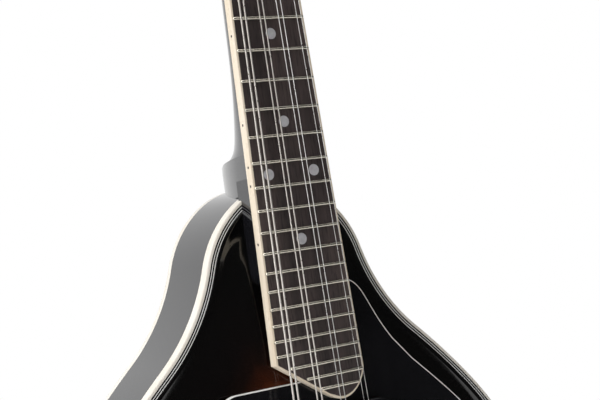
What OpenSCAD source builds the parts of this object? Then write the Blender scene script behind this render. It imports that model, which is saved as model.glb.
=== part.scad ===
// A-style mandolin: arched, bound body with f-holes, long bound fretboard, geared
// tuners, height-adjustable bridge, stamped tailpiece and a pickup in the pickguard.
// Millimetres. +Z runs up the body to the neck, -Y is the front and +X the treble
// side. The origin is on the end pin's waist, on the centre plane.

/* [Body] */
// Depth of the rim, from the top's edge to the back's edge
rim_depth = 44; // [42:0.5:46]
// Rise of the arched top above its edge
top_arch = 14; // [13:0.25:14.5]
// Rise of the arched back above its edge
back_arch = 12; // [8:0.5:14]
// Thickness of the bent ribs
rib_t = 2.5; // [2:0.1:3]
// Width of the ivory binding
binding_w = 1.5; // [1.2:0.1:1.8]
// Width of the striped purfling inside the top binding
purfling_w = 2.2; // [1.6:0.1:2.6]

/* [Neck] */
// String length from the nut to the bridge, without compensation
scale_length = 350; // [346:1:354]
// Width of the fretboard at the nut
nut_w = 30.3; // [29.5:0.1:31]
// How much wider the fretboard gets for each millimetre down the neck
neck_taper = 0.0454; // [0.042:0.0005:0.048]
// Lean of the neck behind the plane of the body
neck_angle = 3.03; // [2.9:0.01:3.1]
// Lean of the headstock behind the neck
head_angle = 14; // [12:0.5:15]
// Thickness of the fretboard
fretboard_t = 5; // [4.8:0.1:5.2]

/* [Frets and strings] */
// Number of frets
fret_count = 24; // [20:1:24]
// Height of the fret wire above the fretboard
fret_h = 0.85; // [0.8:0.05:0.95]
// Distance between the two strings of a course
pair_gap = 2.2; // [2:0.1:2.4]
// Half distance between the outer courses at the nut
nut_spread = 11.5; // [11:0.1:11.8]
// Half distance between the outer courses at the bridge
bridge_spread = 18.2; // [17.5:0.1:18.6]

/* [Tuners] */
// Distance between neighbouring posts on one plate
post_pitch = 23; // [22.5:0.5:24]
// Teeth on each post's gear
gear_teeth = 15; // [15:1:15]
// Length of a worm's thread for one turn
worm_lead = 1.885; // [1.885:0.001:1.886]

/* [Hidden] */

black = [0.04, 0.04, 0.045];
ivory = [0.92, 0.88, 0.78];
steel = [0.72, 0.72, 0.70];
far = 400;

// Body outline: arcs from the top centre down one side, [radius, heading at the end, steps].
// A heading of 90 runs across, 0 runs down and a negative radius bends the other way.
outline_arcs = [[35.5, 52.5, 3], [47.5, 16, 4], [-88.5, 47, 5], [326, 40, 1], [161, 0, 7], [136, -55, 8]];
tail_heading = 55;
tail_steps = 5;
tail_z = 6;
front_y = -rim_depth / 2;
back_y = rim_depth / 2;
top_edge_t = 5.2;
back_edge_t = 4;
rib_front = front_y + top_edge_t;
rib_back = back_y - back_edge_t;
top_t = 4.2;
back_t = 3.6;
recurve_w = 8;
arch_start_w = 14;
arch_power = 1.15;
arch_centre_z = 168;
arch_steps = [0.86, 0.72, 0.58, 0.44, 0.3, 0.15];

function arc_points(c, r, a0, a1, n) = [for (i = [1:n]) c + r * [cos(a0 + (a1 - a0) * i / n),
    sin(a0 + (a1 - a0) * i / n)]];
function arc_chain(p, a, d, i = 0) = i == len(outline_arcs) ? [] :
    let (r = outline_arcs[i][0] - d, c = p - r * [cos(a), sin(a)],
        pts = arc_points(c, r, a, outline_arcs[i][1], outline_arcs[i][2]))
    concat(pts, arc_chain(pts[len(pts) - 1], outline_arcs[i][1], d, i + 1));
function half_outline(d, z0) = let (side = arc_chain([0, z0 - d], 90, d), e = side[len(side) - 1],
        r = e[0] / cos(tail_heading), c = [0, e[1] + r * sin(tail_heading)])
    concat([[0, z0 - d]], side, arc_points(c, r, -tail_heading, -90, tail_steps));
raw_half = half_outline(0, 0);
body_length = -raw_half[len(raw_half) - 1][1];
top_z = tail_z + body_length;
function outline(d) = let (h = half_outline(d, top_z), n = len(h))
    concat([for (i = [0:n - 2]) h[i]], [[0, h[n - 1][1]]], [for (i = [n - 2:-1:1]) [-h[i][0], h[i][1]]]);
bout_i = 20;
bout_r = outline_arcs[5][0];
bout_centre = [raw_half[bout_i][0] - bout_r, top_z + raw_half[bout_i][1]];

// Rings of the arched plates
arch_ring = outline(arch_start_w);
function flat_ring(d, y) = [for (p = outline(d)) [p[0], y, p[1]]];
function arch_y(k, rise) = 0.4 + (rise - 0.4) * pow(1 - k * k, arch_power);
function scaled_ring(k, y) = [for (p = arch_ring) [p[0] * k, y, arch_centre_z + (p[1] - arch_centre_z) * k]];
function front_rings(drop) = concat(
    [flat_ring(recurve_w, front_y + 0.5 + drop), flat_ring(arch_start_w, front_y - 0.4 + drop)],
    [for (k = arch_steps) scaled_ring(k, front_y - arch_y(k, top_arch) + drop)]);
function back_rings(drop) = concat(
    [flat_ring(recurve_w, back_y - 0.4 - drop), flat_ring(arch_start_w, back_y + 0.4 - drop)],
    [for (k = arch_steps) scaled_ring(k, back_y + arch_y(k, back_arch) - drop)]);

// Closed solid through a list of rings, capped at a middle point at each end
module ring_solid(rings, first_y, last_y) {
    n = len(rings[0]);
    m = len(rings);
    points = concat([for (r = rings) each r],
        [[0, first_y, arch_centre_z], [0, last_y, arch_centre_z]]);
    sides = [for (i = [0:m - 2], j = [0:n - 1]) let (a = i * n + j, b = i * n + (j + 1) % n)
        each [[a, a + n, b], [b, a + n, b + n]]];
    first_cap = [for (j = [0:n - 1]) [m * n, j, (j + 1) % n]];
    last_cap = [for (j = [0:n - 1]) [m * n + 1, (m - 1) * n + (j + 1) % n, (m - 1) * n + j]];
    polyhedron(points = points, faces = concat(sides, first_cap, last_cap), convexity = 6);
}

function backwards(list) = [for (i = [len(list) - 1:-1:0]) list[i]];

// The whole body as one closed volume, used to fit other parts to its surfaces
module body_solid() ring_solid(
    concat(backwards(front_rings(0)), [flat_ring(binding_w + purfling_w, front_y), flat_ring(0, front_y)],
        [flat_ring(0, back_y), flat_ring(binding_w, back_y)], back_rings(0)),
    front_y - top_arch, back_y + back_arch);

// Everything in front of the top plate's inner face
module top_front_volume() ring_solid(
    concat([scaled_ring(0.15, -far), flat_ring(0, -far), flat_ring(0, rib_front), flat_ring(recurve_w, rib_front)],
        [for (i = [1:len(arch_steps) + 1]) front_rings(top_t)[i]]),
    -far, front_y - top_arch + top_t);

module outline_band(outer_d, inner_d, y0, y1) rotate([90, 0, 0]) translate([0, 0, -y1])
    linear_extrude(y1 - y0) difference() {
        polygon(outline(outer_d));
        polygon(outline(inner_d));
    }

module outline_slab(d, y0, y1) rotate([90, 0, 0]) translate([0, 0, -y1])
    linear_extrude(y1 - y0) polygon(outline(d));

// Neck frame: origin at the nut's front edge, on the fretboard's face; local -Z runs down the neck
nut_y = front_y - 4.8;
nut_z = top_z + 173.6;
module neck_frame() translate([0, nut_y, nut_z]) rotate([-neck_angle, 0, 0]) children();
function half_w(d) = (nut_w + neck_taper * d) / 2;
function fret_at(n) = scale_length * (1 - pow(2, -n / 12));
head_drop = 3;
nut_len = 4.5;
module head_frame() neck_frame() translate([0, head_drop, nut_len]) rotate([-head_angle, 0, 0]) children();

// Body top plate
eye = 12;
// One f-hole in X and Z: a swelling S-curve with a round eye at each end and two notches
function bez(p, t) = pow(1 - t, 3) * p[0] + 3 * t * pow(1 - t, 2) * p[1] + 3 * t * t * (1 - t) * p[2] + pow(t, 3) * p[3];
function bez_points(p, n) = [for (i = [0:n]) bez(p, i / n)];
bridge_z = nut_z - (scale_length + 2) * cos(neck_angle);
f_top = [34, bridge_z + 47];
f_low = [69, bridge_z - 50];
module f_hole() {
    spine = [[40, bridge_z + 52], [57, bridge_z + 40], [44, bridge_z - 38], [63, bridge_z - 55]];
    steps = 10;
    function half_t(t) = 1.2 + 2.1 * sin(180 * t);
    mid = [for (i = [0:steps]) bez(spine, i / steps)];
    left = [for (i = [0:steps]) mid[i] - [half_t(i / steps), 0]];
    right = [for (i = [0:steps]) mid[i] + [half_t(i / steps), 0]];
    polygon(concat(left, backwards(right)));
    translate(f_top + [2.5, 2]) circle(r = 4, $fn = eye);
    translate(f_low + [-2.5, -2]) circle(r = 5, $fn = eye);
    translate([mid[5][0], mid[5][1]]) rotate(-8) square([9.5, 1.6], center = true);
}

pickup_len = 70;
pickup_w = 18;
pickup_at = 280.5;
module slot_shape(l, w) hull() for (s = [-1, 1]) translate([s * (l - w) / 2, 0]) circle(r = w / 2, $fn = 32);
module pickup_rout() neck_frame() translate([0, 0, -pickup_at]) rotate([90, 0, 0])
    translate([0, 0, -30]) linear_extrude(60) square([pickup_len + 10, pickup_w + 4], center = true);

// Neck tenon: a tapered tongue from the heel into the neck block
tenon_z = top_z - 16;
tenon_back = 10;
module tenon_shape() rotate([90, 0, 0]) translate([0, 0, -tenon_back])
    linear_extrude(tenon_back - front_y + 2)
    polygon([[-12, tenon_z], [12, tenon_z], [9, top_z + 1], [-9, top_z + 1]]);

knob_at = [[78, 96], [62, 62]];
pot_hole_r = 4;

module top_plate() color([0.35, 0.12, 0.04]) difference() {
    ring_solid(concat(
            backwards(concat([flat_ring(recurve_w, rib_front)],
                [for (i = [1:len(arch_steps) + 1]) front_rings(top_t)[i]])),
            [flat_ring(binding_w, rib_front), flat_ring(binding_w, front_y + 1.2),
                flat_ring(binding_w + purfling_w, front_y + 1.2),
                flat_ring(binding_w + purfling_w, front_y)],
            front_rings(0)),
        front_y - top_arch + top_t, front_y - top_arch);
    for (s = [-1, 1]) scale([s, 1, 1]) rotate([90, 0, 0]) linear_extrude(60) f_hole();
    pickup_rout();
    tenon_shape();
    for (p = knob_at) translate([p[0], 0, p[1]]) rotate([90, 0, 0]) cylinder(r = pot_hole_r, h = 60, $fn = 32);
}

module back_plate() color(black) ring_solid(
    concat(backwards(concat([flat_ring(recurve_w, rib_back)],
            [for (i = [1:len(arch_steps) + 1]) back_rings(back_t)[i]])),
        [flat_ring(binding_w, rib_back), flat_ring(binding_w, back_y)], back_rings(0)),
    back_y + back_arch - back_t, back_y + back_arch);

jack_angle = 37;
module jack_axis() translate([bout_centre[0], 0, bout_centre[1]]) rotate([0, 90 + jack_angle, 0])
    translate([0, 0, bout_r]) children();

module tail_holes() {
    translate([0, 0, -5]) cylinder(r = 2.95, h = 60, $fn = 48);
    for (p = tail_screw_at) translate([p[0], p[1], 0]) cylinder(r = 1.55, h = 16.8, $fn = 20);
}

module ribs() color(black) difference() {
    outline_band(0, rib_t, rib_front, rib_back);
    tenon_shape();
    tail_holes();
    jack_axis() cylinder(r = 4.8, h = 20, center = true, $fn = 32);
}

module neck_block() color("burlywood") difference() {
    intersection() {
        outline_slab(rib_t, rib_front, rib_back);
        translate([-27, -far, top_z - 44]) cube([54, 2 * far, 60]);
    }
    tenon_shape();
}

module tail_block() color("burlywood") difference() {
    intersection() {
        outline_slab(rib_t, rib_front, rib_back);
        translate([-28, -far, 0]) cube([56, 2 * far, tail_z + 17]);
    }
    tail_holes();
}

module block_space() {
    translate([-27, -far, top_z - 44]) cube([54, 2 * far, 60]);
    translate([-28, -far, 0]) cube([56, 2 * far, tail_z + 17]);
}

module linings() color("tan") difference() {
    union() {
        outline_band(rib_t, recurve_w, rib_front, rib_front + 9);
        outline_band(rib_t, recurve_w, rib_back - 9, rib_back);
    }
    block_space();
    jack_axis() cylinder(r = 9, h = 40, center = true, $fn = 32);
}

module tone_bars() color("tan") difference() {
    for (s = [-1, 1]) translate([s * 28 - 3, front_y - top_arch, 70]) cube([6, 22, 150]);
    top_front_volume();
    for (s = [-1, 1]) translate([s * 28 - 4, rib_front + 3, 60]) cube([8, 30, 170]);
}

module top_binding() color(ivory) difference() {
    outline_band(0, binding_w, front_y, rib_front);
    tenon_shape();
}

module top_purfling() color("dimgray") difference() {
    outline_band(binding_w, binding_w + purfling_w, front_y, front_y + 1.2);
    tenon_shape();
}

module back_binding() color(ivory) outline_band(0, binding_w, rib_back, back_y);

// Neck: a lofted shaft that deepens into the heel, [distance from nut, depth, squareness, taper]
joint_at = 178;
neck_stations = [[-16, 14.6, 0.25, 0], [-9, 14.4, 0.4, 0], [0, 15, 0.75, 0], [12, 15, 1, 0], [36, 15.2, 1, 0], [60, 15.6, 1, 0], [90, 16.2, 1, 0], [112, 16.8, 1, 0],
    [124, 17.6, 1, 0], [134, 20, 0.98, 0.02], [144, 24.5, 0.95, 0.08], [151, 28.6, 0.92, 0.14],
    [155.5, 33, 0.88, 0.2], [158, 39, 0.82, 0.28], [159.5, 46, 0.76, 0.36], [160.5, 53.6, 0.7, 0.44],
    [190, 54.2, 0.7, 0.44]];
neck_sides = 16;
function neck_section(st) = let (w = half_w(max(0, min(st[0], joint_at))) - 0.6)
    [for (i = [0:neck_sides]) let (a = 180 * i / neck_sides, c = cos(a), s = sin(a),
        x = w * sign(c) * pow(abs(c), st[2]) * (1 - st[3] * s))
        [abs(c) < 0.001 ? 0 : x, fretboard_t + st[1] * pow(s, st[2]), -st[0]]];
module neck_shaft() {
    n = neck_sides + 1;
    m = len(neck_stations);
    points = [for (st = neck_stations) each neck_section(st)];
    sides = [for (i = [0:m - 2], j = [0:n - 1]) let (a = i * n + j, b = i * n + (j + 1) % n)
        each [[a, b, a + n], [b, b + n, a + n]]];
    start = [for (j = [1:n - 2]) [0, j + 1, j]];
    stop = [for (j = [1:n - 2]) let (o = (m - 1) * n) [o, o + j, o + j + 1]];
    polyhedron(points = points, faces = concat(sides, start, stop), convexity = 6);
}

extension_end = 217;
module neck_extension() rotate([90, 0, 0]) translate([0, 0, -26]) linear_extrude(26 - fretboard_t) difference() {
    w0 = half_w(170) - 0.6;
    w1 = half_w(extension_end) - 0.6;
    polygon(concat([[w0, -170], [-w0, -170]],
        arc_points([-w1 + 7, 7 - extension_end], 7, 180, 270, 4),
        arc_points([w1 - 7, 7 - extension_end], 7, 270, 360, 4)));
}

// Headstock face, half profile from the nut up to the crest
head_half = concat([[15.1, -nut_len], [15.1, 2]], bez_points([[15.3, 3], [16.5, 11], [24, 12], [29, 20]], 6),
    [[31.5, 142]], bez_points([[31.5, 143], [31, 154], [14, 149], [0, 158]], 7));
head_outline = concat(head_half, [for (i = [len(head_half) - 2:-1:0]) [-head_half[i][0], head_half[i][1]]]);
veneer_t = 1.6;
head_t = 15;
post_x = 18.5;
post_z0 = 38;
post_r = 3;
bushing_r = 4.4;
function post_at(i) = [(i < 4 ? -1 : 1) * post_x, post_z0 + post_pitch * (i % 4)];
module head_slab(y0, y1) rotate([90, 0, 0]) translate([0, 0, -y1]) linear_extrude(y1 - y0) polygon(head_outline);
module post_bores(r, y0, y1) for (i = [0:7]) translate([post_at(i)[0], y1, post_at(i)[1]])
    rotate([90, 0, 0]) cylinder(r = r, h = y1 - y0, $fn = 32);

rod_y = 9;
rod_r = 2.4;
pocket_w = 9;
pocket_top = 20;
module below_nut() translate([-40, -40, -60]) cube([80, 100, 60 + nut_len]);

module neck() color(black) difference() {
    union() {
        difference() {
            neck_frame() union() {
                neck_shaft();
                neck_extension();
            }
            body_solid();
            translate([-40, back_y, 0]) cube([80, 20, far]);
            translate([-40, rib_back, 0]) cube([80, 20, top_z - 2.5]);
            head_frame() translate([-40, veneer_t - 40, 0]) cube([80, 40, 60]);
        }
        tenon_shape();
        difference() {
            head_frame() head_slab(veneer_t, head_t);
            neck_frame() below_nut();
        }
    }
    neck_frame() translate([-3, fretboard_t - 1, -165]) cube([6, rod_y - 1, 165 + nut_len]);
    head_frame() {
        post_bores(bushing_r, -1, 8);
        post_bores(post_r + 0.4, 7, 20);
        translate([-pocket_w / 2, -1, -8]) cube([pocket_w, 11, pocket_top + 8]);
    }
}

// Narrow block between the fretboard's overhang and the arched top
riser_end = 250;
function crown_y(z) = front_y - arch_y((z - arch_centre_z) / (top_z - arch_start_w - arch_centre_z), top_arch);
module fretboard_riser() color(black) translate([-9, 0, 0]) rotate([90, 0, 90]) linear_extrude(18)
    let (p = from_neck([0, fretboard_t, -extension_end - 0.45]), q = from_neck([0, fretboard_t, -riser_end]))
    polygon(concat([[p[1], p[2]], [q[1], q[2]]],
        [for (i = [0:4]) let (z = q[2] + (p[2] - q[2]) * i / 4) [crown_y(z) - 0.03, z]]));

module truss_rod() color(steel) neck_frame() {
    translate([0, rod_y, -164]) cylinder(r = rod_r, h = 166, $fn = 24);
    translate([-2.8, rod_y - 3, -164.9]) cube([5.6, 5.8, 4]);
}

module truss_nut() color("goldenrod") neck_frame() translate([0, rod_y, nut_len - 5]) difference() {
    cylinder(r = 2.95, h = 9, $fn = 6);
    translate([0, 0, -1]) cylinder(r = rod_r + 0.05, h = 5, $fn = 24);
}

cover_screw_at = [[-7, 6.5], [7, 6.5], [0, 32]];
module truss_rod_cover() color("black") head_frame() difference() {
    rotate([90, 0, 0]) linear_extrude(1.4)
        polygon(concat(arc_points([0, 30], 7, 0, 180, 10), [[-10, 3], [10, 3]]));
    for (p = cover_screw_at) translate([p[0], 1, p[1]]) rotate([90, 0, 0]) cylinder(r = 1.1, h = 5, $fn = 24);
}

module headstock_veneer() color(black) difference() {
    head_frame() veneer_blank();
    neck_frame() below_nut();
}

module veneer_blank() difference() {
    head_slab(0, veneer_t);
    post_bores(bushing_r, -1, 3);
    translate([-pocket_w / 2, -1, -8]) cube([pocket_w, 4, pocket_top + 8]);
    for (p = cover_screw_at) translate([p[0], 3, p[1]]) rotate([90, 0, 0]) cylinder(r = 1, h = 5, $fn = 24);
}

// Strings: across position of string i at distance d from the nut
courses = [-1, -1 / 3, 1 / 3, 1];
string_r = [0.45, 0.45, 0.32, 0.32, 0.2, 0.2, 0.14, 0.14];
nut_rise = 1.8;
saddle_rise = 6.1;
function spread(d) = nut_spread + (bridge_spread - nut_spread) * d / scale_length;
function string_x(i, d) = courses[floor(i / 2)] * spread(d) + (i % 2 - 0.5) * pair_gap;
function string_y(d) = -nut_rise - (saddle_rise - nut_rise) * d / scale_length;

module nut() color("ivory") difference() {
    neck_frame() nut_blank();
    for (i = [0:7]) string_run(i, 0.1);
}

module nut_blank() difference() {
    translate([-nut_w / 2, -2.5, 0]) cube([nut_w, fretboard_t + 2.5, nut_len]);
    translate([-20, -6, nut_len]) rotate([-40, 0, 0]) cube([40, 6, 6]);
}

// Fretboard end: straight slant on the bass side, round on the treble side
slant_y = 264.2;
slant = 0.7;
function board_outline(d) = let (w = half_w(0) - d, we = half_w(258) - d)
    concat([[w, 0], [-w, 0], [-(half_w(249.5) - d), -249.6 + 0.28 * d], [3 - 0.55 * d, -(slant_y + slant * 3) + 1.2 * d]],
        bez_points([[5, -267.4 + 1.2 * d], [10, -270.2 + d], [18, -267 + d], [we, -257]], 8));
module board_slab(d, y0, y1) rotate([90, 0, 0]) translate([0, 0, -y1]) linear_extrude(y1 - y0) polygon(board_outline(d));

// First and last X of a fret, cut short by the slanted end
function fret_left(n) = n < 22 ? -(half_w(fret_at(n)) - 0.35) : [-14.6, -7.6, -1.6][n - 22];
function fret_right(n) = n < 23 ? half_w(fret_at(n)) - 0.35 : [20.2, 17.6][n - 23];
fret_half = 0.7;
fretboard_binding_w = 1;
dot_r = 2.45;
side_dot_r = 0.6;
dots = [[3, 0], [5, 0], [7, 0], [10, 0], [12, -11], [12, 11], [15, 0]];
function dot_z(n) = -(fret_at(n) + fret_at(n - 1)) / 2;

module fretboard() color([0.16, 0.12, 0.11]) neck_frame() difference() {
    board_slab(fretboard_binding_w, 0, fretboard_t);
    for (n = [1:fret_count]) translate([fret_left(n) + 1.2, -1, -fret_at(n) - 0.3])
        cube([fret_right(n) - fret_left(n) - 2.4, 3, 0.6]);
    for (p = dots) translate([p[1], 1.2, dot_z(p[0])]) rotate([90, 0, 0]) cylinder(r = dot_r, h = 3, $fn = 32);
}

module fretboard_binding() color(ivory) neck_frame() difference() {
    board_slab(0, 0, fretboard_t);
    board_slab(fretboard_binding_w, -1, fretboard_t + 1);
    side_dot_places(side_dot_r, -1);
}

module frets() color([0.7, 0.68, 0.6]) neck_frame() for (n = [1:fret_count]) translate([0, 0, -fret_at(n)]) {
    translate([fret_left(n), 0, 0]) rotate([90, 0, 90]) linear_extrude(fret_right(n) - fret_left(n))
        polygon(concat([[0, -fret_half]], [for (a = [-75:30:75]) [-fret_h * cos(a), fret_half * sin(a)]], [[0, fret_half]]));
    translate([fret_left(n) + 1.2, 0, -0.3]) cube([fret_right(n) - fret_left(n) - 2.4, 2, 0.6]);
}

module face_dots() color([0.8, 0.78, 0.8]) neck_frame() for (p = dots)
    translate([p[1], 1.2, dot_z(p[0])]) rotate([90, 0, 0]) cylinder(r = dot_r, h = 1.2, $fn = 32);

side_marks = [[3, 0], [5, 0], [7, 0], [10, 0], [12, -4], [12, 4], [15, 0]];
module side_dot_places(r, out) for (m = side_marks) let (d = -dot_z(m[0]) + m[1])
    translate([-half_w(d) + 0.9, fretboard_t / 2, -d]) rotate([0, -90, 0]) cylinder(r = r, h = 0.9 - 0.05 * out, $fn = 24);

module side_dots() color("black") neck_frame() side_dot_places(side_dot_r, 1);

// Pickguard in the neck frame: it lies just under the fretboard and passes below the strings
guard_y = 5.3;
guard_t = 2;
trim_w = 0.4;
guard_edge = concat(
    [[12, -218.2]], bez_points([[21, -218.2], [30.5, -220.5], [30, -231.5], [41, -247.5]], 8),
    bez_points([[49.4, -257.7], [62, -270.5], [76, -283], [85, -300]], 6),
    bez_points([[88, -306], [93, -328], [90, -350], [80, -352]], 7),
    bez_points([[72, -353], [66, -345], [58, -338], [50, -324]], 6),
    bez_points([[44, -313], [38, -303], [28, -303], [16, -303]], 5),
    [[-36, -303]], arc_points([-38, -293], 10, 270, 180, 5), arc_points([-38, -268.4], 10, 180, 90, 5),
    [[-6, -258.4]], [[12, -258.4]]);
module guard_slab(shrink) rotate([90, 0, 0]) translate([0, 0, -guard_y - guard_t])
    linear_extrude(guard_t) offset(delta = -shrink) polygon(guard_edge);
module pickup_hole(clear) translate([0, 0, -pickup_at]) rotate([90, 0, 0]) translate([0, 0, -20])
    linear_extrude(40) slot_shape(pickup_len + 2 * clear, pickup_w + 2 * clear);
guard_screw_at = [[-43, -272], [-43, -291], [78, -343]];

module pickguard() color([0.03, 0.03, 0.03]) neck_frame() difference() {
    guard_slab(trim_w);
    pickup_hole(0.3);
    for (p = guard_screw_at) translate([p[0], 12, p[1]]) rotate([90, 0, 0]) cylinder(r = 1.3, h = 10, $fn = 24);
    for (s = [-1, 1]) translate([s * 38.6, 12, -pickup_at]) rotate([90, 0, 0]) cylinder(r = 1.4, h = 10, $fn = 24);
}

module pickguard_trim() color("white") neck_frame() difference() {
    guard_slab(0);
    translate([0, -1, 0]) guard_slab(trim_w);
    translate([0, 1, 0]) guard_slab(trim_w);
}

module pickguard_spacers() color("dimgray") difference() {
    neck_frame() for (p = guard_screw_at) translate([p[0], guard_y + guard_t, p[1]]) rotate([-90, 0, 0])
        difference() {
            cylinder(r = 3, h = 12, $fn = 32);
            translate([0, 0, -1]) cylinder(r = 1.2, h = 3.2, $fn = 24);
        }
    body_solid();
}

plate_screw_at = [for (x = [-1, 1], z = [26.5, 49.5, 72.5, 95.5, 118.5]) [x * post_x, z]];
module screw(r, len, head_r) union() {
    rotate([-90, 0, 0]) cylinder(r = r, h = len, $fn = 20);
    intersection() {
        rotate([-90, 0, 0]) translate([0, 0, -0.9]) cylinder(r = head_r, h = 0.9, $fn = 24);
        translate([0, head_r * 1.2 - 0.9, 0]) sphere(r = head_r * 1.2, $fn = 24);
    }
}

module wood_screws() color(steel) {
    neck_frame() for (p = guard_screw_at) translate([p[0], guard_y, p[1]]) screw(1.2, 4, 2.2);
    neck_frame() for (s = [-1, 1]) translate([s * 38.6, guard_y, -pickup_at]) screw(1.3, 8, 2.3);
    head_frame() for (p = cover_screw_at) translate([p[0], -1.4, p[1]]) screw(1, 2.9, 1.9);
    head_frame() for (p = plate_screw_at) translate([p[0], head_t + 1, p[1]]) rotate([180, 0, 0]) screw(1.1, 1, 2);
}

// Bridge, standing square to the body's front
saddle_y = front_y - 29.3;
base_top_y = front_y - 18.6;
wheel_y = base_top_y - 1.2;
wheel_t = 2.2;
wheel_gap = 0.2;
saddle_low = wheel_y - wheel_t - wheel_gap;
bridge_post_x = 28;
stud_r = 1.9;
stud_top_y = saddle_low - 4.2;

module bridge_base() color([0.07, 0.05, 0.05]) difference() {
    translate([0, 0, bridge_z]) linear_extrude(11, center = true)
        polygon(concat([[-58, front_y - 6], [-58, front_y - 12]],
            bez_points([[-52, front_y - 14.5], [-44, front_y - 16], [-40, base_top_y], [-34, base_top_y]], 5),
            bez_points([[34, base_top_y], [40, base_top_y], [44, front_y - 16], [52, front_y - 14.5]], 5),
            [[58, front_y - 12], [58, front_y - 6]]));
    body_solid();
    translate([-16, front_y - 15.6, bridge_z - 10]) cube([32, 20, 20]);
    for (s = [-1, 1]) translate([s * bridge_post_x, front_y, bridge_z]) rotate([90, 0, 0])
        cylinder(r = stud_r + 0.03, h = 30, $fn = 24);
}

module bridge_posts() color(steel) for (s = [-1, 1]) translate([s * bridge_post_x, base_top_y + 4, bridge_z])
    rotate([90, 0, 0]) cylinder(r = stud_r, h = base_top_y + 4 - stud_top_y, $fn = 24);

module thumbwheel(s) color("gold") translate([s * bridge_post_x, wheel_y, bridge_z]) rotate([90, 0, 0])
    difference() {
        union() {
            cylinder(r = 6.3, h = wheel_t, $fn = 48);
            for (a = [0:15:345]) rotate(a) translate([6.3, 0, wheel_t / 2]) cube([0.7, 0.8, wheel_t], center = true);
        }
        translate([0, 0, -1]) cylinder(r = stud_r + 0.05, h = 5, $fn = 24);
    }
module thumbwheel_bass() thumbwheel(-1);
module thumbwheel_treble() thumbwheel(1);

saddle_half = 40;
crown_half_t = 2.2;
module bridge_saddle() color([0.07, 0.05, 0.05]) difference() {
    translate([0, 0, bridge_z]) linear_extrude(7.6, center = true)
        polygon(concat([[-saddle_half, saddle_low], [-saddle_half, saddle_low - 2.6]],
            bez_points([[-saddle_half + 3, saddle_low - 3.4], [-33, saddle_low - 5.8], [-30, saddle_low - 6], [-26, saddle_low - 6]], 5),
            [[-22.5, saddle_y], [22.5, saddle_y]],
            bez_points([[26, saddle_low - 6], [30, saddle_low - 6], [33, saddle_low - 5.8], [saddle_half - 3, saddle_low - 3.4]], 5),
            [[saddle_half, saddle_low - 2.6], [saddle_half, saddle_low]]));
    for (s = [-1, 1]) translate([s * bridge_post_x, saddle_low + 1, bridge_z]) rotate([90, 0, 0])
        cylinder(r = stud_r + 0.1, h = 6.4, $fn = 24);
    for (z = [crown_half_t, -10 - crown_half_t]) translate([-24, saddle_y - 1, bridge_z + z]) cube([48, 2.2, 10]);
    for (i = [0:7]) string_run(i, 0.1);
}

// Tailpiece: an angled base screwed over the tail, with a cover that slides off downwards
tail_plate_y = front_y - 12;
tail_w = 30;
leg_w = 24;
hook_z = 56;
tail_t = 1.2;
tail_bottom = tail_z - tail_t;
tail_screw_at = [[0, -11], [-7.5, 8], [7.5, 8]];
function hook_x(i) = string_x(i, scale_length) * 0.72;
module tailpiece_base() color(steel) difference() {
    union() {
        translate([-tail_w / 2, tail_plate_y, tail_bottom]) cube([tail_w, tail_t, hook_z + 8 - tail_bottom]);
        translate([-leg_w / 2, tail_plate_y, tail_bottom]) cube([leg_w, 48, tail_t]);
        for (i = [0:7]) translate([hook_x(i), tail_plate_y, hook_z]) {
            translate([-0.5, -2, -1.2]) cube([1, 2.1, 1.2]);
            translate([-0.5, -2.9, -3.4]) cube([1, 1, 3.4]);
        }
    }
    translate([0, 0, 0]) cylinder(r = 3.05, h = 20, $fn = 32);
    for (p = tail_screw_at) translate([p[0], p[1], 0]) cylinder(r = 1.6, h = 20, $fn = 24);
}

// The cover's turned-in lips run behind the edges of the base plate
cover_w = 36;
cover_t = 1;
cover_depth = 6;
cover_z0 = tail_bottom - cover_t - 0.3;
cover_len = 66;
lip_gap = 0.25;
function cover_outer() = let (w = cover_w / 2, y0 = tail_plate_y - cover_depth, y1 = tail_plate_y + tail_t + lip_gap + cover_t)
    concat([[-w, y1]], arc_points([-w + 5, y0 + 5], 5, 180, 270, 4), arc_points([w - 5, y0 + 5], 5, 270, 360, 4), [[w, y1]]);
function cover_inner() = let (w = cover_w / 2 - cover_t, y0 = tail_plate_y - cover_depth + cover_t,
        y1 = tail_plate_y + tail_t + lip_gap)
    concat([[-w, y1]], arc_points([-w + 4, y0 + 4], 4, 180, 270, 4), arc_points([w - 4, y0 + 4], 4, 270, 360, 4), [[w, y1]]);
module tailpiece_cover() color(steel) difference() {
    translate([0, 0, cover_z0]) linear_extrude(cover_len) polygon(cover_outer());
    translate([0, 0, cover_z0 + cover_t]) linear_extrude(cover_len) polygon(cover_inner());
    translate([-leg_w / 2 - 1, tail_plate_y + tail_t - 1, cover_z0 - 1]) cube([leg_w + 2, 6, cover_len + 2]);
}

module tailpiece_screws() color(steel) for (p = tail_screw_at) translate([p[0], p[1], tail_bottom])
    rotate([90, 0, 0]) screw(1.5, 12, 2.9);

pin_r = 3.2;
module strap_button() color("black") rotate_extrude($fn = 48) polygon(concat(
    [[0, 22], [2.9, 22], [2.9, 4.8], [6, 4.8], [6.2, 4.2], [5, 3.2], [pin_r, 3.2], [pin_r, -3], [6.2, -3.4]],
    [[6.9, -4.6], [6.4, -6], [4.6, -7], [0, -7.3]]));

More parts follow.
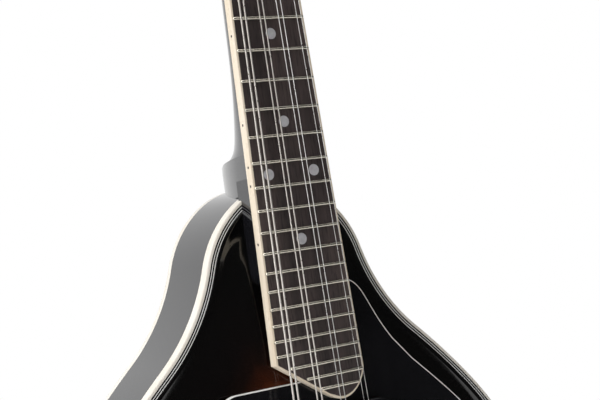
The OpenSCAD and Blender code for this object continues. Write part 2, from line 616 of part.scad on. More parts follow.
// Strings: hook to saddle, saddle to nut, nut to post
module rod(a, b, r) let (v = b - a, l = norm(v)) translate(a)
    rotate([0, acos(v[2] / l), atan2(v[1], v[0])]) cylinder(r = r, h = l, $fn = 12);
function turn_x(p, a) = [p[0], p[1] * cos(a) - p[2] * sin(a), p[1] * sin(a) + p[2] * cos(a)];
function from_neck(p) = turn_x(p, -neck_angle) + [0, nut_y, nut_z];
function from_head(p) = from_neck(turn_x(p, -head_angle) + [0, head_drop, nut_len]);
string_post = [0, 1, 2, 3, 7, 6, 5, 4];
string_hole_y = -7.5;
function post_side(i) = let (p = post_at(string_post[i])) [p[0] - sign(p[0]) * (post_r + string_r[i] + 0.15),
    string_hole_y + 1.2, p[1]];
function string_nut(i) = from_neck([string_x(i, -2), string_y(-2), 2]);
function string_saddle(i) = [string_x(i, scale_length), saddle_y - 0.1, bridge_z];
function string_hook(i) = [hook_x(i), tail_plate_y - 1, hook_z + 0.3];
module string_run(i, extra) {
    rod(string_hook(i), string_saddle(i), string_r[i] + extra);
    rod(string_saddle(i), string_nut(i), string_r[i] + extra);
    rod(string_nut(i), from_head(post_side(i)), string_r[i] + extra);
}
module strings() color([0.8, 0.78, 0.72]) for (i = [0:7]) string_run(i, 0);

// Tuners: two plates, each with four worm shafts that turn four posts
plate_t = 1;
gear_y = head_t + plate_t + 1.6;
gear_t = 3;
axis_y = gear_y + gear_t / 2;
worm_r = 2.9;
worm_root = 1.9;
gear_pitch_r = gear_teeth * worm_lead / PI / 2;
gear_out_r = gear_pitch_r + 0.42;
gear_root_r = gear_pitch_r - 0.6;
worm_offset = gear_pitch_r + (worm_r + worm_root) / 2;
shaft_r = 1.5;
lug_in = 10.5;
lug_out = 25.5;
lug_t = 1.4;
lead_angle = atan(worm_lead / (2 * PI * (worm_r + worm_root) / 2));

module tuner_plates() color("gold") head_frame() for (s = [-1, 1]) difference() {
    union() {
        translate([s > 0 ? 9 : -27.5, head_t, 21]) cube([18.5, plate_t, 103]);
        for (i = [0:3], x = [lug_in, lug_out]) let (z = post_at(i)[1] - worm_offset)
            translate([s > 0 ? x : -x - lug_t, head_t + plate_t - 0.1, z - 2.6])
                cube([lug_t, axis_y - head_t - plate_t + 2.8, 5.2]);
    }
    for (i = [0:3]) {
        translate([s * post_x, head_t + 3, post_at(i)[1]]) rotate([90, 0, 0]) cylinder(r = post_r + 0.06, h = 5, $fn = 32);
        translate([s * 8, axis_y, post_at(i)[1] - worm_offset]) rotate([0, s * 90, 0])
            cylinder(r = shaft_r + 0.06, h = 22, $fn = 24);
    }
    for (p = plate_screw_at) translate([p[0], head_t - 1, p[1]]) rotate([-90, 0, 0]) cylinder(r = 1.15, h = 5, $fn = 20);
}

module post_bushings() color("gold") head_frame() for (i = [0:7]) translate([post_at(i)[0], 0, post_at(i)[1]])
    rotate([90, 0, 0]) difference() {
        union() {
            translate([0, 0, -8]) cylinder(r = bushing_r, h = 8, $fn = 32);
            cylinder(r = 5.4, h = 1, $fn = 32);
        }
        translate([0, 0, -9]) cylinder(r = post_r + 0.06, h = 12, $fn = 32);
    }

// Worm thread: one trapezoid ridge swept along a helix about Z
module worm_thread(turns) {
    steps = 10;
    n = steps * turns;
    base_h = worm_lead * 0.34;
    tip_h = worm_lead * 0.13;
    points = [for (i = [0:n]) let (a = 360 * i / steps, z = worm_lead * i / steps - worm_lead * turns / 2)
        each [[worm_root - 0.3, -base_h], [worm_r, -tip_h], [worm_r, tip_h], [worm_root - 0.3, base_h]]
            * [[cos(a), sin(a), 0], [0, 0, 1]] + [for (k = [0:3]) [0, 0, z]]];
    sides = [for (i = [0:n - 1], k = [0:3]) let (a = 4 * i + k, b = 4 * i + (k + 1) % 4)
        each [[a, b, a + 4], [b, b + 4, a + 4]]];
    polyhedron(points = points, faces = concat(sides, [[0, 3, 2], [0, 2, 1]],
        [[4 * n, 4 * n + 1, 4 * n + 2], [4 * n, 4 * n + 2, 4 * n + 3]]), convexity = 8);
}

button_in = 36;
module tuner_shaft(i) {
    p = post_at(i);
    s = sign(p[0]);
    color("ivory") head_frame() translate([0, axis_y, p[1] - worm_offset]) rotate([0, s * 90, 0]) {
        translate([0, 0, lug_in - 1]) cylinder(r = shaft_r, h = button_in - lug_in + 4, $fn = 24);
        translate([0, 0, post_x]) {
            translate([0, 0, -5.6]) cylinder(r = worm_root, h = 11.2, $fn = 24);
            rotate(s > 0 ? 180 : 0) worm_thread(5);
        }
        translate([0, 0, button_in]) intersection() {
            translate([0, 0, 6.5]) cube([8, 14, 15], center = true);
            rotate([90, 0, 0]) cylinder(r = 13, h = 20, center = true, $fn = 48);
            translate([0, 0, 6.5]) rotate([0, 90, 0]) cylinder(r = 7.6, h = 20, center = true, $fn = 48);
        }
    }
}
module tuner_shaft_1() tuner_shaft(0);
module tuner_shaft_2() tuner_shaft(1);
module tuner_shaft_3() tuner_shaft(2);
module tuner_shaft_4() tuner_shaft(3);
module tuner_shaft_5() tuner_shaft(4);
module tuner_shaft_6() tuner_shaft(5);
module tuner_shaft_7() tuner_shaft(6);
module tuner_shaft_8() tuner_shaft(7);

// Gear with straight teeth set at the worm's lead angle
module gear() {
    half_root = 0.62;
    half_tip = 0.26;
    cylinder(r = gear_root_r, h = gear_t, center = true, $fn = 48);
    for (t = [0:gear_teeth - 1]) rotate(t * 360 / gear_teeth - 90) translate([gear_root_r - 0.3, 0, 0])
        rotate([-lead_angle, 0, 0]) linear_extrude(gear_t * 0.96, center = true)
        polygon([[0, -half_root], [gear_out_r - gear_root_r + 0.3, -half_tip],
            [gear_out_r - gear_root_r + 0.3, half_tip], [0, half_root]]);
}

module string_post(i) color("gold") {
    p = post_at(i);
    head_frame() translate([p[0], 0, p[1]]) {
        rotate([-90, 0, 0]) difference() {
            union() {
                translate([0, 0, -11]) cylinder(r = post_r, h = 11 + gear_y + gear_t, $fn = 32);
                translate([0, 0, -12]) cylinder(r = 3.3, h = 2, $fn = 32);
            }
            translate([0, 0, string_hole_y]) rotate([0, 90, 0]) cylinder(r = 0.8, h = 10, center = true, $fn = 16);
        }
        translate([0, axis_y, 0]) rotate([-90, 0, 0]) rotate(180) gear();
    }
}
module string_post_1() string_post(0);
module string_post_2() string_post(1);
module string_post_3() string_post(2);
module string_post_4() string_post(3);
module string_post_5() string_post(4);
module string_post_6() string_post(5);
module string_post_7() string_post(6);
module string_post_8() string_post(7);

// Pickup set in the pickguard
module pickup_cover() color("black") neck_frame() translate([0, guard_y + 6, -pickup_at]) rotate([90, 0, 0]) difference() {
    linear_extrude(10.5) slot_shape(pickup_len, pickup_w);
    translate([0, 0, -1]) linear_extrude(10.3) slot_shape(pickup_len - 2.4, pickup_w - 2.4);
}

module pickup_coil() color("peru") neck_frame() translate([0, guard_y + 5, -pickup_at]) rotate([90, 0, 0]) {
    linear_extrude(1) slot_shape(pickup_len - 4, pickup_w - 3);
    translate([0, 0, 1]) linear_extrude(6) slot_shape(pickup_len - 6, pickup_w - 5);
    translate([0, 0, 7]) linear_extrude(1) slot_shape(pickup_len - 4, pickup_w - 3);
}

pot_y = front_y + 3;
knob_y = front_y - 9.6;
shaft_bore = 3.05;
module potentiometers() color("silver") for (p = knob_at) translate([p[0], pot_y, p[1]]) rotate([90, 0, 0]) difference() {
    union() {
        translate([0, 0, -9]) cylinder(r = 8, h = 9, $fn = 32);
        cylinder(r = 3.8, h = pot_y - knob_y - 0.6, $fn = 32);
    }
    translate([0, 0, -7]) cylinder(r = shaft_bore, h = 40, $fn = 32);
}

module knob(k) color("black") translate([knob_at[k][0], knob_y, knob_at[k][1]]) rotate([90, 0, 0]) {
    translate([0, 0, knob_y - pot_y - 6]) cylinder(r = 3, h = pot_y - knob_y + 8, $fn = 32);
    cylinder(r = 9, h = 12, $fn = 48);
}
module volume_knob() knob(0);
module tone_knob() knob(1);

jack_bore = 3.2;
module jack_socket() color("silver") jack_axis() difference() {
    union() {
        translate([0, 0, -8]) cylinder(r = 4.7, h = 10.5, $fn = 32);
        translate([0, 0, -7]) cylinder(r = 7, h = 4, $fn = 32);
        translate([0, 0, 0.25]) cylinder(r = 7, h = 2, $fn = 6);
    }
    translate([0, 0, -20]) cylinder(r = jack_bore, h = 40, $fn = 32);
}

top_plate();
back_plate();
ribs();
neck_block();
tail_block();
linings();
tone_bars();
top_binding();
top_purfling();
back_binding();
neck();
fretboard_riser();
truss_rod();
truss_nut();
truss_rod_cover();
headstock_veneer();
nut();
fretboard();
fretboard_binding();
frets();
face_dots();
side_dots();
pickguard();
pickguard_trim();
pickguard_spacers();
wood_screws();
bridge_base();
bridge_posts();
bridge_saddle();
thumbwheel_bass();
thumbwheel_treble();
tailpiece_base();
tailpiece_cover();
tailpiece_screws();
strap_button();
strings();
tuner_plates();
post_bushings();
pickup_cover();
pickup_coil();
potentiometers();
volume_knob();
tone_knob();
jack_socket();
tuner_shaft_1();
tuner_shaft_2();
tuner_shaft_3();
tuner_shaft_4();
tuner_shaft_5();
tuner_shaft_6();
tuner_shaft_7();
tuner_shaft_8();
string_post_1();
string_post_2();
string_post_3();
string_post_4();
string_post_5();
string_post_6();
string_post_7();
string_post_8();
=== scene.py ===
# %% [markdown]
# # A sunburst mandolin, made on top of its solid model
# The solid model already holds every part at its true size: body, neck, fretboard, tuners, bridge
# and tailpiece. This lesson gives that model its looks. Flat, machined parts keep their solid
# and get a finish. Parts with flowing or polished surfaces are made again here as fine
# meshes, from the same curves, because a glossy lacquer shows every flat facet.

# %% Load the solid model
import bpy
import bmesh
import math
from mathutils import Matrix, Vector
from mathutils.bvhtree import BVHTree


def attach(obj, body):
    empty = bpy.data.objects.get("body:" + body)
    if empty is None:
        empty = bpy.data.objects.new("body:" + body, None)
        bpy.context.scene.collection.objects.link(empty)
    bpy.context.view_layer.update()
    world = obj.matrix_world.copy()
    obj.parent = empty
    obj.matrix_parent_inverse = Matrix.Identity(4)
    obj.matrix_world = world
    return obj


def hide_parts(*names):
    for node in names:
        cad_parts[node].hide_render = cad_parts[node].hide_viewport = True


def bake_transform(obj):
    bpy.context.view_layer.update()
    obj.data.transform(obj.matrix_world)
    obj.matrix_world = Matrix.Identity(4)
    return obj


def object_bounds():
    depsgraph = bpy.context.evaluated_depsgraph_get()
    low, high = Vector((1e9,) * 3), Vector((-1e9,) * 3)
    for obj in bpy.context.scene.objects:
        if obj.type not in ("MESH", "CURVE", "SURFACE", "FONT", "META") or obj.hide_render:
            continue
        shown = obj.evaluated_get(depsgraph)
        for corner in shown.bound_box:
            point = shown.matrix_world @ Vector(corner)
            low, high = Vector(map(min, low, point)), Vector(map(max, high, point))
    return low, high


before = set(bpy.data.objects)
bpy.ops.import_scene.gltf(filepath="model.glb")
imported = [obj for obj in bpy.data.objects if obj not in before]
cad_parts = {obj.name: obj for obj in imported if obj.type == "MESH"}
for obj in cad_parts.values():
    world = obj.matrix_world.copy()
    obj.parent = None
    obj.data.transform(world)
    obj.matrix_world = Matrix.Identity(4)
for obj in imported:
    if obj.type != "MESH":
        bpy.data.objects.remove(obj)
cad_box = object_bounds()

# %% [markdown]
# ## The camera first
# The instrument is seen from its bass side and a little in front, from about neck height, with a
# long lens, so the far end of the neck shrinks only a little. A camera is placed by three
# directions at right angles: where it looks, which way is up, and the side between them.

# %% Camera
camera_place = Vector((-0.23070, -0.45797, 0.33536))
looks = Vector((0.48330, 0.87545, 0.00122)).normalized()
up = Vector((0.10793, -0.06097, 0.99229)).normalized()
side = looks.cross(up).normalized()
up = side.cross(looks)
camera_data = bpy.data.cameras.new("camera")
camera_data.lens = 67.65
camera_data.sensor_width = 36.0
camera_data.clip_start = 0.01
camera = bpy.data.objects.new("camera", camera_data)
bpy.context.scene.collection.objects.link(camera)
turn = Matrix((side, up, -looks)).transposed().to_4x4()
camera.matrix_world = Matrix.Translation(camera_place) @ turn
bpy.context.scene.camera = camera
print("camera is", round(camera_place.length, 3), "m from the end pin")

# %% [markdown]
# ## A white studio
# A glossy black lacquer has no colour of its own to show: it shows the room. So the room is part
# of the finish. White paper stands behind the instrument and a soft light hangs over it, while the
# room in front stays dim. The ribs and neck then mirror the paper as a grey sheen, and the top
# mirrors the dim room and stays black. Whatever is looked at directly has plain white behind it.

# %% Room, lamps and floor
world = bpy.data.worlds.new("studio")
bpy.context.scene.world = world
world.use_nodes = True
tree = world.node_tree


def sky_node(kind):
    return tree.nodes.new(kind)


def sky_range(value, low, high, to_low, to_high):
    """Brightness that rises smoothly as one part of the direction goes from low to high."""
    node = sky_node("ShaderNodeMapRange")
    node.interpolation_type = "SMOOTHSTEP"
    node.inputs["From Min"].default_value = low
    node.inputs["From Max"].default_value = high
    node.inputs["To Min"].default_value = to_low
    node.inputs["To Max"].default_value = to_high
    tree.links.new(value, node.inputs["Value"])
    return node.outputs["Result"]


direction = sky_node("ShaderNodeSeparateXYZ")
tree.links.new(sky_node("ShaderNodeTexCoord").outputs["Generated"], direction.inputs[0])
behind = sky_range(direction.outputs["Y"], -0.10, 0.50, 0.03, 0.90)
above = sky_range(direction.outputs["Z"], 0.55, 0.95, 0.03, 0.80)
brighter = sky_node("ShaderNodeMath")
brighter.operation = "MAXIMUM"
tree.links.new(behind, brighter.inputs[0])
tree.links.new(above, brighter.inputs[1])
room = tree.nodes["Background"]
room.inputs["Color"].default_value = (1.0, 1.0, 1.0, 1.0)
tree.links.new(brighter.outputs["Value"], room.inputs["Strength"])
paper = sky_node("ShaderNodeBackground")
paper.inputs["Color"].default_value = (1.0, 1.0, 1.0, 1.0)
seen = sky_node("ShaderNodeMixShader")
tree.links.new(sky_node("ShaderNodeLightPath").outputs["Is Camera Ray"], seen.inputs[0])
tree.links.new(room.outputs["Background"], seen.inputs[1])
tree.links.new(paper.outputs["Background"], seen.inputs[2])
tree.links.new(seen.outputs["Shader"], tree.nodes["World Output"].inputs["Surface"])
bpy.context.scene.view_settings.view_transform = "Standard"


def soft_lamp(name, place, target, width, height, watts):
    data = bpy.data.lights.new(name, "AREA")
    data.shape = "RECTANGLE"
    data.size = width
    data.size_y = height
    data.energy = watts
    lamp = bpy.data.objects.new(name, data)
    bpy.context.scene.collection.objects.link(lamp)
    lamp.location = place
    aim = Vector(target) - Vector(place)
    lamp.rotation_euler = aim.to_track_quat("-Z", "Y").to_euler()
    return lamp


body_middle = (0.0, 0.0, 0.30)
soft_lamp("left_softbox", (-1.5, -0.55, 0.75), body_middle, 0.8, 1.2, 18.0)
soft_lamp("top_softbox", (-0.1, -0.2, 1.8), body_middle, 1.0, 0.7, 10.0)

floor_z = cad_box[0][2] - 0.001
disc = bmesh.new()
bmesh.ops.create_circle(disc, cap_ends=True, radius=0.95, segments=96)
floor_mesh = bpy.data.meshes.new("floor")
disc.to_mesh(floor_mesh)
disc.free()
floor = bpy.data.objects.new("floor", floor_mesh)
bpy.context.scene.collection.objects.link(floor)
floor.location = (0.0, 0.0, floor_z)
# the floor gives a little light of its own, so it stays as pale as the paper behind
pale = bpy.data.materials.new("pale_floor")
pale.use_nodes = True
pale_shader = pale.node_tree.nodes["Principled BSDF"]
pale_shader.inputs["Base Color"].default_value = (0.86, 0.86, 0.86, 1.0)
pale_shader.inputs["Roughness"].default_value = 0.8
pale_shader.inputs["Emission Color"].default_value = (1.0, 1.0, 1.0, 1.0)
pale_shader.inputs["Emission Strength"].default_value = 0.22
floor_mesh.materials.append(pale)

# %% [markdown]
# ## The curves that shape the body
# A luthier draws half the outline with a few compass arcs and mirrors it. The same arcs are used
# here, in millimetres: radius, and the heading where each arc ends. A heading of 90 runs across and
# 0 runs down. A negative radius bends the other way, at the waist by the neck. Moving in from
# the edge by an inset keeps each centre and shortens each radius, so every line inside the edge
# stays parallel to it.

# %% Outline
MM = 0.001
ARCS = [(35.5, 52.5), (47.5, 16.0), (-88.5, 47.0), (326.0, 40.0), (161.0, 0.0), (136.0, -55.0)]
STEP = 2.6
TAIL_TURN = 55.0
TAIL_STEPS = 32


def half_outline(inset, top):
    """Right half of the outline, from the neck down to the end pin, moved in by inset."""
    here = (0.0, top - inset)
    points = [here]
    heading = 90.0
    for full_radius, stop in ARCS:
        # the number of steps comes from the uncut radius, so every inset has the same count
        count = max(2, round(abs(full_radius) * abs(math.radians(stop - heading)) / STEP))
        radius = full_radius - inset
        a = math.radians(heading)
        centre = (here[0] - radius * math.cos(a), here[1] - radius * math.sin(a))
        for i in range(1, count + 1):
            a = math.radians(heading + (stop - heading) * i / count)
            here = (centre[0] + radius * math.cos(a), centre[1] + radius * math.sin(a))
            points.append(here)
        heading = stop
    # the last arc is centred on the middle line, so both halves meet without a corner
    radius = here[0] / math.cos(math.radians(TAIL_TURN))
    centre = (0.0, here[1] + radius * math.sin(math.radians(TAIL_TURN)))
    for i in range(1, TAIL_STEPS + 1):
        a = math.radians(-TAIL_TURN - (90.0 - TAIL_TURN) * i / TAIL_STEPS)
        points.append((centre[0] + radius * math.cos(a), centre[1] + radius * math.sin(a)))
    points[-1] = (0.0, points[-1][1])
    return points


TAIL_Z = 6.0
TOP_Z = TAIL_Z - half_outline(0.0, 0.0)[-1][1]


def outline(inset):
    right = half_outline(inset, TOP_Z)
    left = [(-x, z) for x, z in right[-2:0:-1]]
    return right + left


print("outline:", len(outline(0)), "points, body", round(TOP_Z - TAIL_Z, 1), "mm long")

# %% [markdown]
# ## Helpers for making pieces
# Every piece is a list of corner points and faces, joined to the body it moves with, and given its
# finish. A loft runs a skin through a row of rings that all have the same number of points, which
# is how a shipwright planks a hull.

# %% Mesh helpers


def make_piece(name, verts, faces, body, finish, slot, nodes=(), sharp=35.0):
    """A new piece from its points. nodes are the solid nodes that it stands for."""
    mesh = bpy.data.meshes.new(name)
    mesh.from_pydata([tuple(v) for v in verts], [], faces)
    work = bmesh.new()
    work.from_mesh(mesh)
    bmesh.ops.remove_doubles(work, verts=work.verts, dist=1e-7)
    bmesh.ops.recalc_face_normals(work, faces=work.faces)
    work.to_mesh(mesh)
    work.free()
    return place_mesh(name, mesh, body, finish, slot, nodes, sharp)


def place_mesh(name, mesh, body, finish, slot, nodes=(), sharp=35.0):
    """Puts a finished mesh in the scene. A piece with no body is left unjoined."""
    piece = bpy.data.objects.new(name, mesh)
    bpy.context.scene.collection.objects.link(piece)
    mesh.materials.clear()
    mesh.materials.append(finish)
    mesh.shade_smooth()
    mesh.set_sharp_from_angle(angle=math.radians(sharp))
    if body:
        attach(piece, body)
    if nodes:
        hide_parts(*nodes)
    return piece


def loft(rings, capped=True):
    verts = []
    faces = []
    n = len(rings[0])
    for ring in rings:
        verts.extend(ring)
    for i in range(len(rings) - 1):
        for j in range(n):
            k = (j + 1) % n
            a = i * n
            b = a + n
            faces.append((a + j, a + k, b + k, b + j))
    if capped:
        faces.append(tuple(range(n)))
        last = (len(rings) - 1) * n
        faces.append(tuple(last + j for j in reversed(range(n))))
    return verts, faces


def soften(piece, width, segments=3, angle=30.0):
    bevel = piece.modifiers.new("eased_edges", "BEVEL")
    bevel.width = width
    bevel.segments = segments
    bevel.limit_method = "ANGLE"
    bevel.angle_limit = math.radians(angle)
    bevel.harden_normals = True
    return piece


def prism(outline_points, lay, low, high):
    """A flat outline given thickness. lay(u, v, depth) puts a point where it belongs."""
    return loft([[lay(u, v, depth) for u, v in outline_points] for depth in (low, high)])


def join_meshes(parts):
    verts = []
    faces = []
    for v, f in parts:
        base = len(verts)
        verts.extend(v)
        faces.extend(tuple(base + i for i in face) for face in f)
    return verts, faces


def closed_mesh(name, verts, faces):
    """A mesh ready for cutting: its faces all point outwards."""
    mesh = bpy.data.meshes.new(name)
    mesh.from_pydata(verts, [], faces)
    work = bmesh.new()
    work.from_mesh(mesh)
    bmesh.ops.recalc_face_normals(work, faces=work.faces)
    work.to_mesh(mesh)
    work.free()
    return mesh


def cutter(name, verts, faces):
    """A solid that is only used to cut a hole."""
    tool = bpy.data.objects.new(name, closed_mesh(name, verts, faces))
    bpy.context.scene.collection.objects.link(tool)
    return tool


def cut_through(mesh, tools):
    """The mesh with every tool's volume taken away. The tools are used up."""
    blank = bpy.data.objects.new("blank", mesh)
    bpy.context.scene.collection.objects.link(blank)
    for tool in tools:
        cut = blank.modifiers.new("cut", "BOOLEAN")
        cut.operation = "DIFFERENCE"
        cut.solver = "EXACT"
        cut.object = tool
    bpy.context.view_layer.update()
    ready = blank.evaluated_get(bpy.context.evaluated_depsgraph_get())
    cut_mesh = bpy.data.meshes.new_from_object(ready)
    for tool in tools + [blank]:
        bpy.data.objects.remove(tool)
    return cut_mesh


# %% [markdown]
# ## Finishes
# Each finish is a small tree of nodes. The base is always the same shader; what makes a finish
# believable is the variation laid over it: grain that runs along the wood, a slight orange
# peel in sprayed lacquer, fine rubbing marks on plastic. The amounts are kept small, since a
# new instrument is clean.

# %% Finish helpers


class Finish:
    """One material, with short names for the nodes that every finish uses."""

    def __init__(self, name, colour, rough, metal=0.0, coat=0.0, ior=1.5):
        self.material = bpy.data.materials.new(name)
        self.material.use_nodes = True
        self.tree = self.material.node_tree
        self.shader = self.tree.nodes["Principled BSDF"]
        self.shader.inputs["Base Color"].default_value = (*colour, 1.0)
        self.shader.inputs["Roughness"].default_value = rough
        self.shader.inputs["Metallic"].default_value = metal
        self.shader.inputs["Coat Weight"].default_value = coat
        self.shader.inputs["Coat Roughness"].default_value = 0.04
        self.shader.inputs["IOR"].default_value = ior
        self.place = self.node("ShaderNodeTexCoord").outputs["Object"]

    def node(self, kind):
        return self.tree.nodes.new(kind)

    def join(self, a, b):
        self.tree.links.new(a, b)

    def stretched(self, scale):
        mapping = self.node("ShaderNodeMapping")
        mapping.inputs["Scale"].default_value = scale
        self.join(self.place, mapping.inputs["Vector"])
        return mapping.outputs["Vector"]

    def noise(self, scale, stretch=(1.0, 1.0, 1.0), detail=4.0, rough=0.55):
        node = self.node("ShaderNodeTexNoise")
        node.inputs["Scale"].default_value = scale
        node.inputs["Detail"].default_value = detail
        node.inputs["Roughness"].default_value = rough
        self.join(self.stretched(stretch), node.inputs["Vector"])
        return node.outputs["Fac"]

    def spread(self, value, low, high, from_low=0.3, from_high=0.7):
        node = self.node("ShaderNodeMapRange")
        node.inputs["From Min"].default_value = from_low
        node.inputs["From Max"].default_value = from_high
        node.inputs["To Min"].default_value = low
        node.inputs["To Max"].default_value = high
        self.join(value, node.inputs["Value"])
        return node.outputs["Result"]

    def ramp(self, value, stops):
        node = self.node("ShaderNodeValToRGB")
        band = node.color_ramp
        while len(band.elements) < len(stops):
            band.elements.new(0.5)
        for element, (where, colour) in zip(band.elements, stops):
            element.position = where
            element.color = (*colour, 1.0)
        self.join(value, node.inputs["Fac"])
        return node.outputs["Color"]

    def blend(self, a, b, amount, kind="MIX"):
        node = self.node("ShaderNodeMix")
        node.data_type = "RGBA"
        node.blend_type = kind
        node.clamp_factor = True
        if isinstance(amount, float):
            node.inputs["Factor"].default_value = amount
        else:
            self.join(amount, node.inputs["Factor"])
        self.join(a, node.inputs["A"])
        self.join(b, node.inputs["B"])
        return node.outputs["Result"]

    def colour(self, output):
        self.join(output, self.shader.inputs["Base Color"])
        return self

    def roughness(self, output):
        self.join(output, self.shader.inputs["Roughness"])
        return self

    def bump(self, height, strength, distance=0.0002, edge=0.0):
        node = self.node("ShaderNodeBump")
        node.inputs["Strength"].default_value = strength
        node.inputs["Distance"].default_value = distance
        self.join(height, node.inputs["Height"])
        if edge:
            rounding = self.node("ShaderNodeBevel")
            rounding.samples = 4
            rounding.inputs["Radius"].default_value = edge
            self.join(rounding.outputs["Normal"], node.inputs["Normal"])
        self.join(node.outputs["Normal"], self.shader.inputs["Normal"])
        return self


# %% Black lacquer


def make_black_lacquer():
    finish = Finish("black_lacquer", (0.008, 0.008, 0.010), 0.09, coat=0.6)
    haze = finish.noise(26.0, detail=3.0)
    finish.roughness(finish.spread(haze, 0.07, 0.13))
    peel = finish.noise(420.0, detail=2.0)
    finish.bump(peel, 0.035, 0.0002)
    return finish.material


black_lacquer = make_black_lacquer()

# %% Sunburst lacquer on spruce


def make_sunburst():
    finish = Finish("sunburst_lacquer", (0.5, 0.2, 0.05), 0.09, coat=0.6)
    # the inset number also carries painted shade under the neck extension and the fretboard's overhang, so
    # the burst ramp turns dark there
    inset = finish.node("ShaderNodeAttribute")
    inset.attribute_name = "inset_and_shade_mm"
    cloud = finish.spread(finish.noise(16.0, detail=2.0), -5.0, 5.0)
    wander = finish.node("ShaderNodeMath")
    finish.join(inset.outputs["Fac"], wander.inputs[0])
    finish.join(cloud, wander.inputs[1])
    burst = finish.ramp(finish.spread(wander.outputs["Value"], 0.0, 1.0, 0.0, 120.0), [
        (0.0, (0.002, 0.002, 0.002)),
        (0.22, (0.003, 0.002, 0.002)),
        (0.30, (0.008, 0.003, 0.002)),
        (0.37, (0.045, 0.010, 0.003)),
        (0.50, (0.26, 0.060, 0.008)),
        (0.66, (0.56, 0.19, 0.025)),
        (0.88, (0.78, 0.36, 0.065)),
    ])
    grain = finish.noise(55.0, stretch=(14.0, 1.0, 0.35), detail=5.0)
    lines = finish.ramp(grain, [(0.38, (0.80, 0.74, 0.66)), (0.60, (1.0, 1.0, 1.0))])
    finish.colour(finish.blend(burst, lines, 0.55, "MULTIPLY"))
    finish.roughness(finish.spread(finish.noise(24.0), 0.06, 0.12))
    finish.bump(finish.noise(380.0, detail=2.0), 0.03, 0.0002)
    return finish.material


sunburst = make_sunburst()

# %% Aged ivory plastic, rosewood, ebony and bare wood


def make_ivory(name, low, high):
    finish = Finish(name, high, 0.28, ior=1.5)
    streak = finish.noise(60.0, stretch=(3.0, 3.0, 0.25), detail=4.0)
    finish.colour(finish.ramp(streak, [(0.30, low), (0.68, high)]))
    finish.roughness(finish.spread(finish.noise(90.0), 0.22, 0.38))
    finish.bump(finish.noise(900.0, detail=2.0), 0.03, 0.0001, edge=0.0003)
    return finish.material


def make_rosewood():
    finish = Finish("rosewood", (0.05, 0.035, 0.033), 0.45)
    figure = finish.noise(22.0, stretch=(6.0, 2.0, 0.5), detail=6.0)
    tone = finish.ramp(figure, [
        (0.30, (0.030, 0.022, 0.022)),
        (0.50, (0.062, 0.045, 0.043)),
        (0.72, (0.105, 0.078, 0.070)),
    ])
    pores = finish.noise(420.0, stretch=(3.0, 3.0, 0.16), detail=3.0, rough=0.7)
    dark = finish.ramp(pores, [(0.36, (0.35, 0.33, 0.33)), (0.48, (1.0, 1.0, 1.0))])
    finish.colour(finish.blend(tone, dark, 0.75, "MULTIPLY"))
    finish.roughness(finish.spread(pores, 0.62, 0.40))
    finish.bump(pores, 0.22, 0.00015)
    return finish.material


def make_ebony():
    finish = Finish("ebony", (0.02, 0.016, 0.015), 0.38)
    figure = finish.noise(30.0, stretch=(0.5, 3.0, 5.0), detail=5.0)
    finish.colour(finish.ramp(figure, [(0.35, (0.012, 0.010, 0.009)), (0.7, (0.040, 0.030, 0.026))]))
    pores = finish.noise(500.0, stretch=(0.2, 3.0, 3.0), detail=2.0)
    finish.roughness(finish.spread(pores, 0.46, 0.32))
    finish.bump(pores, 0.12, 0.0001)
    return finish.material


def make_bare_wood():
    finish = Finish("bare_wood", (0.5, 0.33, 0.18), 0.65)
    figure = finish.noise(40.0, stretch=(4.0, 4.0, 0.4), detail=5.0)
    finish.colour(finish.ramp(figure, [(0.3, (0.38, 0.23, 0.11)), (0.7, (0.62, 0.44, 0.26))]))
    finish.bump(figure, 0.2, 0.0002)
    return finish.material


ivory = make_ivory("ivory_plastic", (0.80, 0.74, 0.64), (0.88, 0.84, 0.77))
tan_ivory = make_ivory("tan_ivory_plastic", (0.76, 0.64, 0.48), (0.86, 0.76, 0.62))
rosewood = make_rosewood()
ebony = make_ebony()
bare_wood = make_bare_wood()

# %% Plastics, pearl, bone and rubber


def make_plastic(name, colour, rough, edge=0.0):
    finish = Finish(name, colour, rough)
    rub = finish.noise(300.0, stretch=(1.0, 1.0, 0.08), detail=3.0)
    finish.roughness(finish.spread(rub, rough * 0.75, rough * 1.5))
    tint = tuple(min(1.0, c * 1.35 + 0.002) for c in colour)
    finish.colour(finish.ramp(finish.noise(45.0), [(0.3, colour), (0.75, tint)]))
    finish.bump(finish.noise(700.0, detail=2.0), 0.03, 0.0001, edge=edge)
    return finish.material


def make_pearl():
    finish = Finish("grey_pearl", (0.52, 0.51, 0.53), 0.3)
    flakes = finish.node("ShaderNodeTexVoronoi")
    flakes.inputs["Scale"].default_value = 900.0
    finish.join(finish.place, flakes.inputs["Vector"])
    cloud = finish.noise(420.0, detail=3.0)
    low = finish.ramp(cloud, [(0.3, (0.46, 0.45, 0.47)), (0.7, (0.58, 0.57, 0.59))])
    finish.colour(finish.blend(low, flakes.outputs["Color"], 0.04, "SOFT_LIGHT"))
    finish.bump(cloud, 0.03, 0.0001)
    return finish.material


black_plastic = make_plastic("black_plastic", (0.004, 0.004, 0.005), 0.13, edge=0.0003)
white_plastic = make_plastic("white_plastic", (0.80, 0.79, 0.75), 0.25)
bone = make_plastic("bone", (0.74, 0.68, 0.55), 0.3, edge=0.0004)
rubber = make_plastic("black_rubber", (0.02, 0.02, 0.02), 0.6)
coil_wire = make_plastic("coil_wire", (0.24, 0.08, 0.03), 0.3)
pearl = make_pearl()

# %% Metals


def make_metal(name, colour, rough, stretch=(1.0, 1.0, 1.0), edge=0.00015):
    finish = Finish(name, colour, rough, metal=1.0)
    stain = finish.noise(60.0, detail=5.0)
    dull = tuple(c * 0.82 for c in colour)
    finish.colour(finish.ramp(stain, [(0.3, dull), (0.62, colour)]))
    brushing = finish.noise(900.0, stretch=stretch, detail=3.0)
    finish.roughness(finish.spread(brushing, rough * 0.75, rough * 1.5))
    finish.bump(brushing, 0.05, 0.00005, edge=edge)
    return finish.material


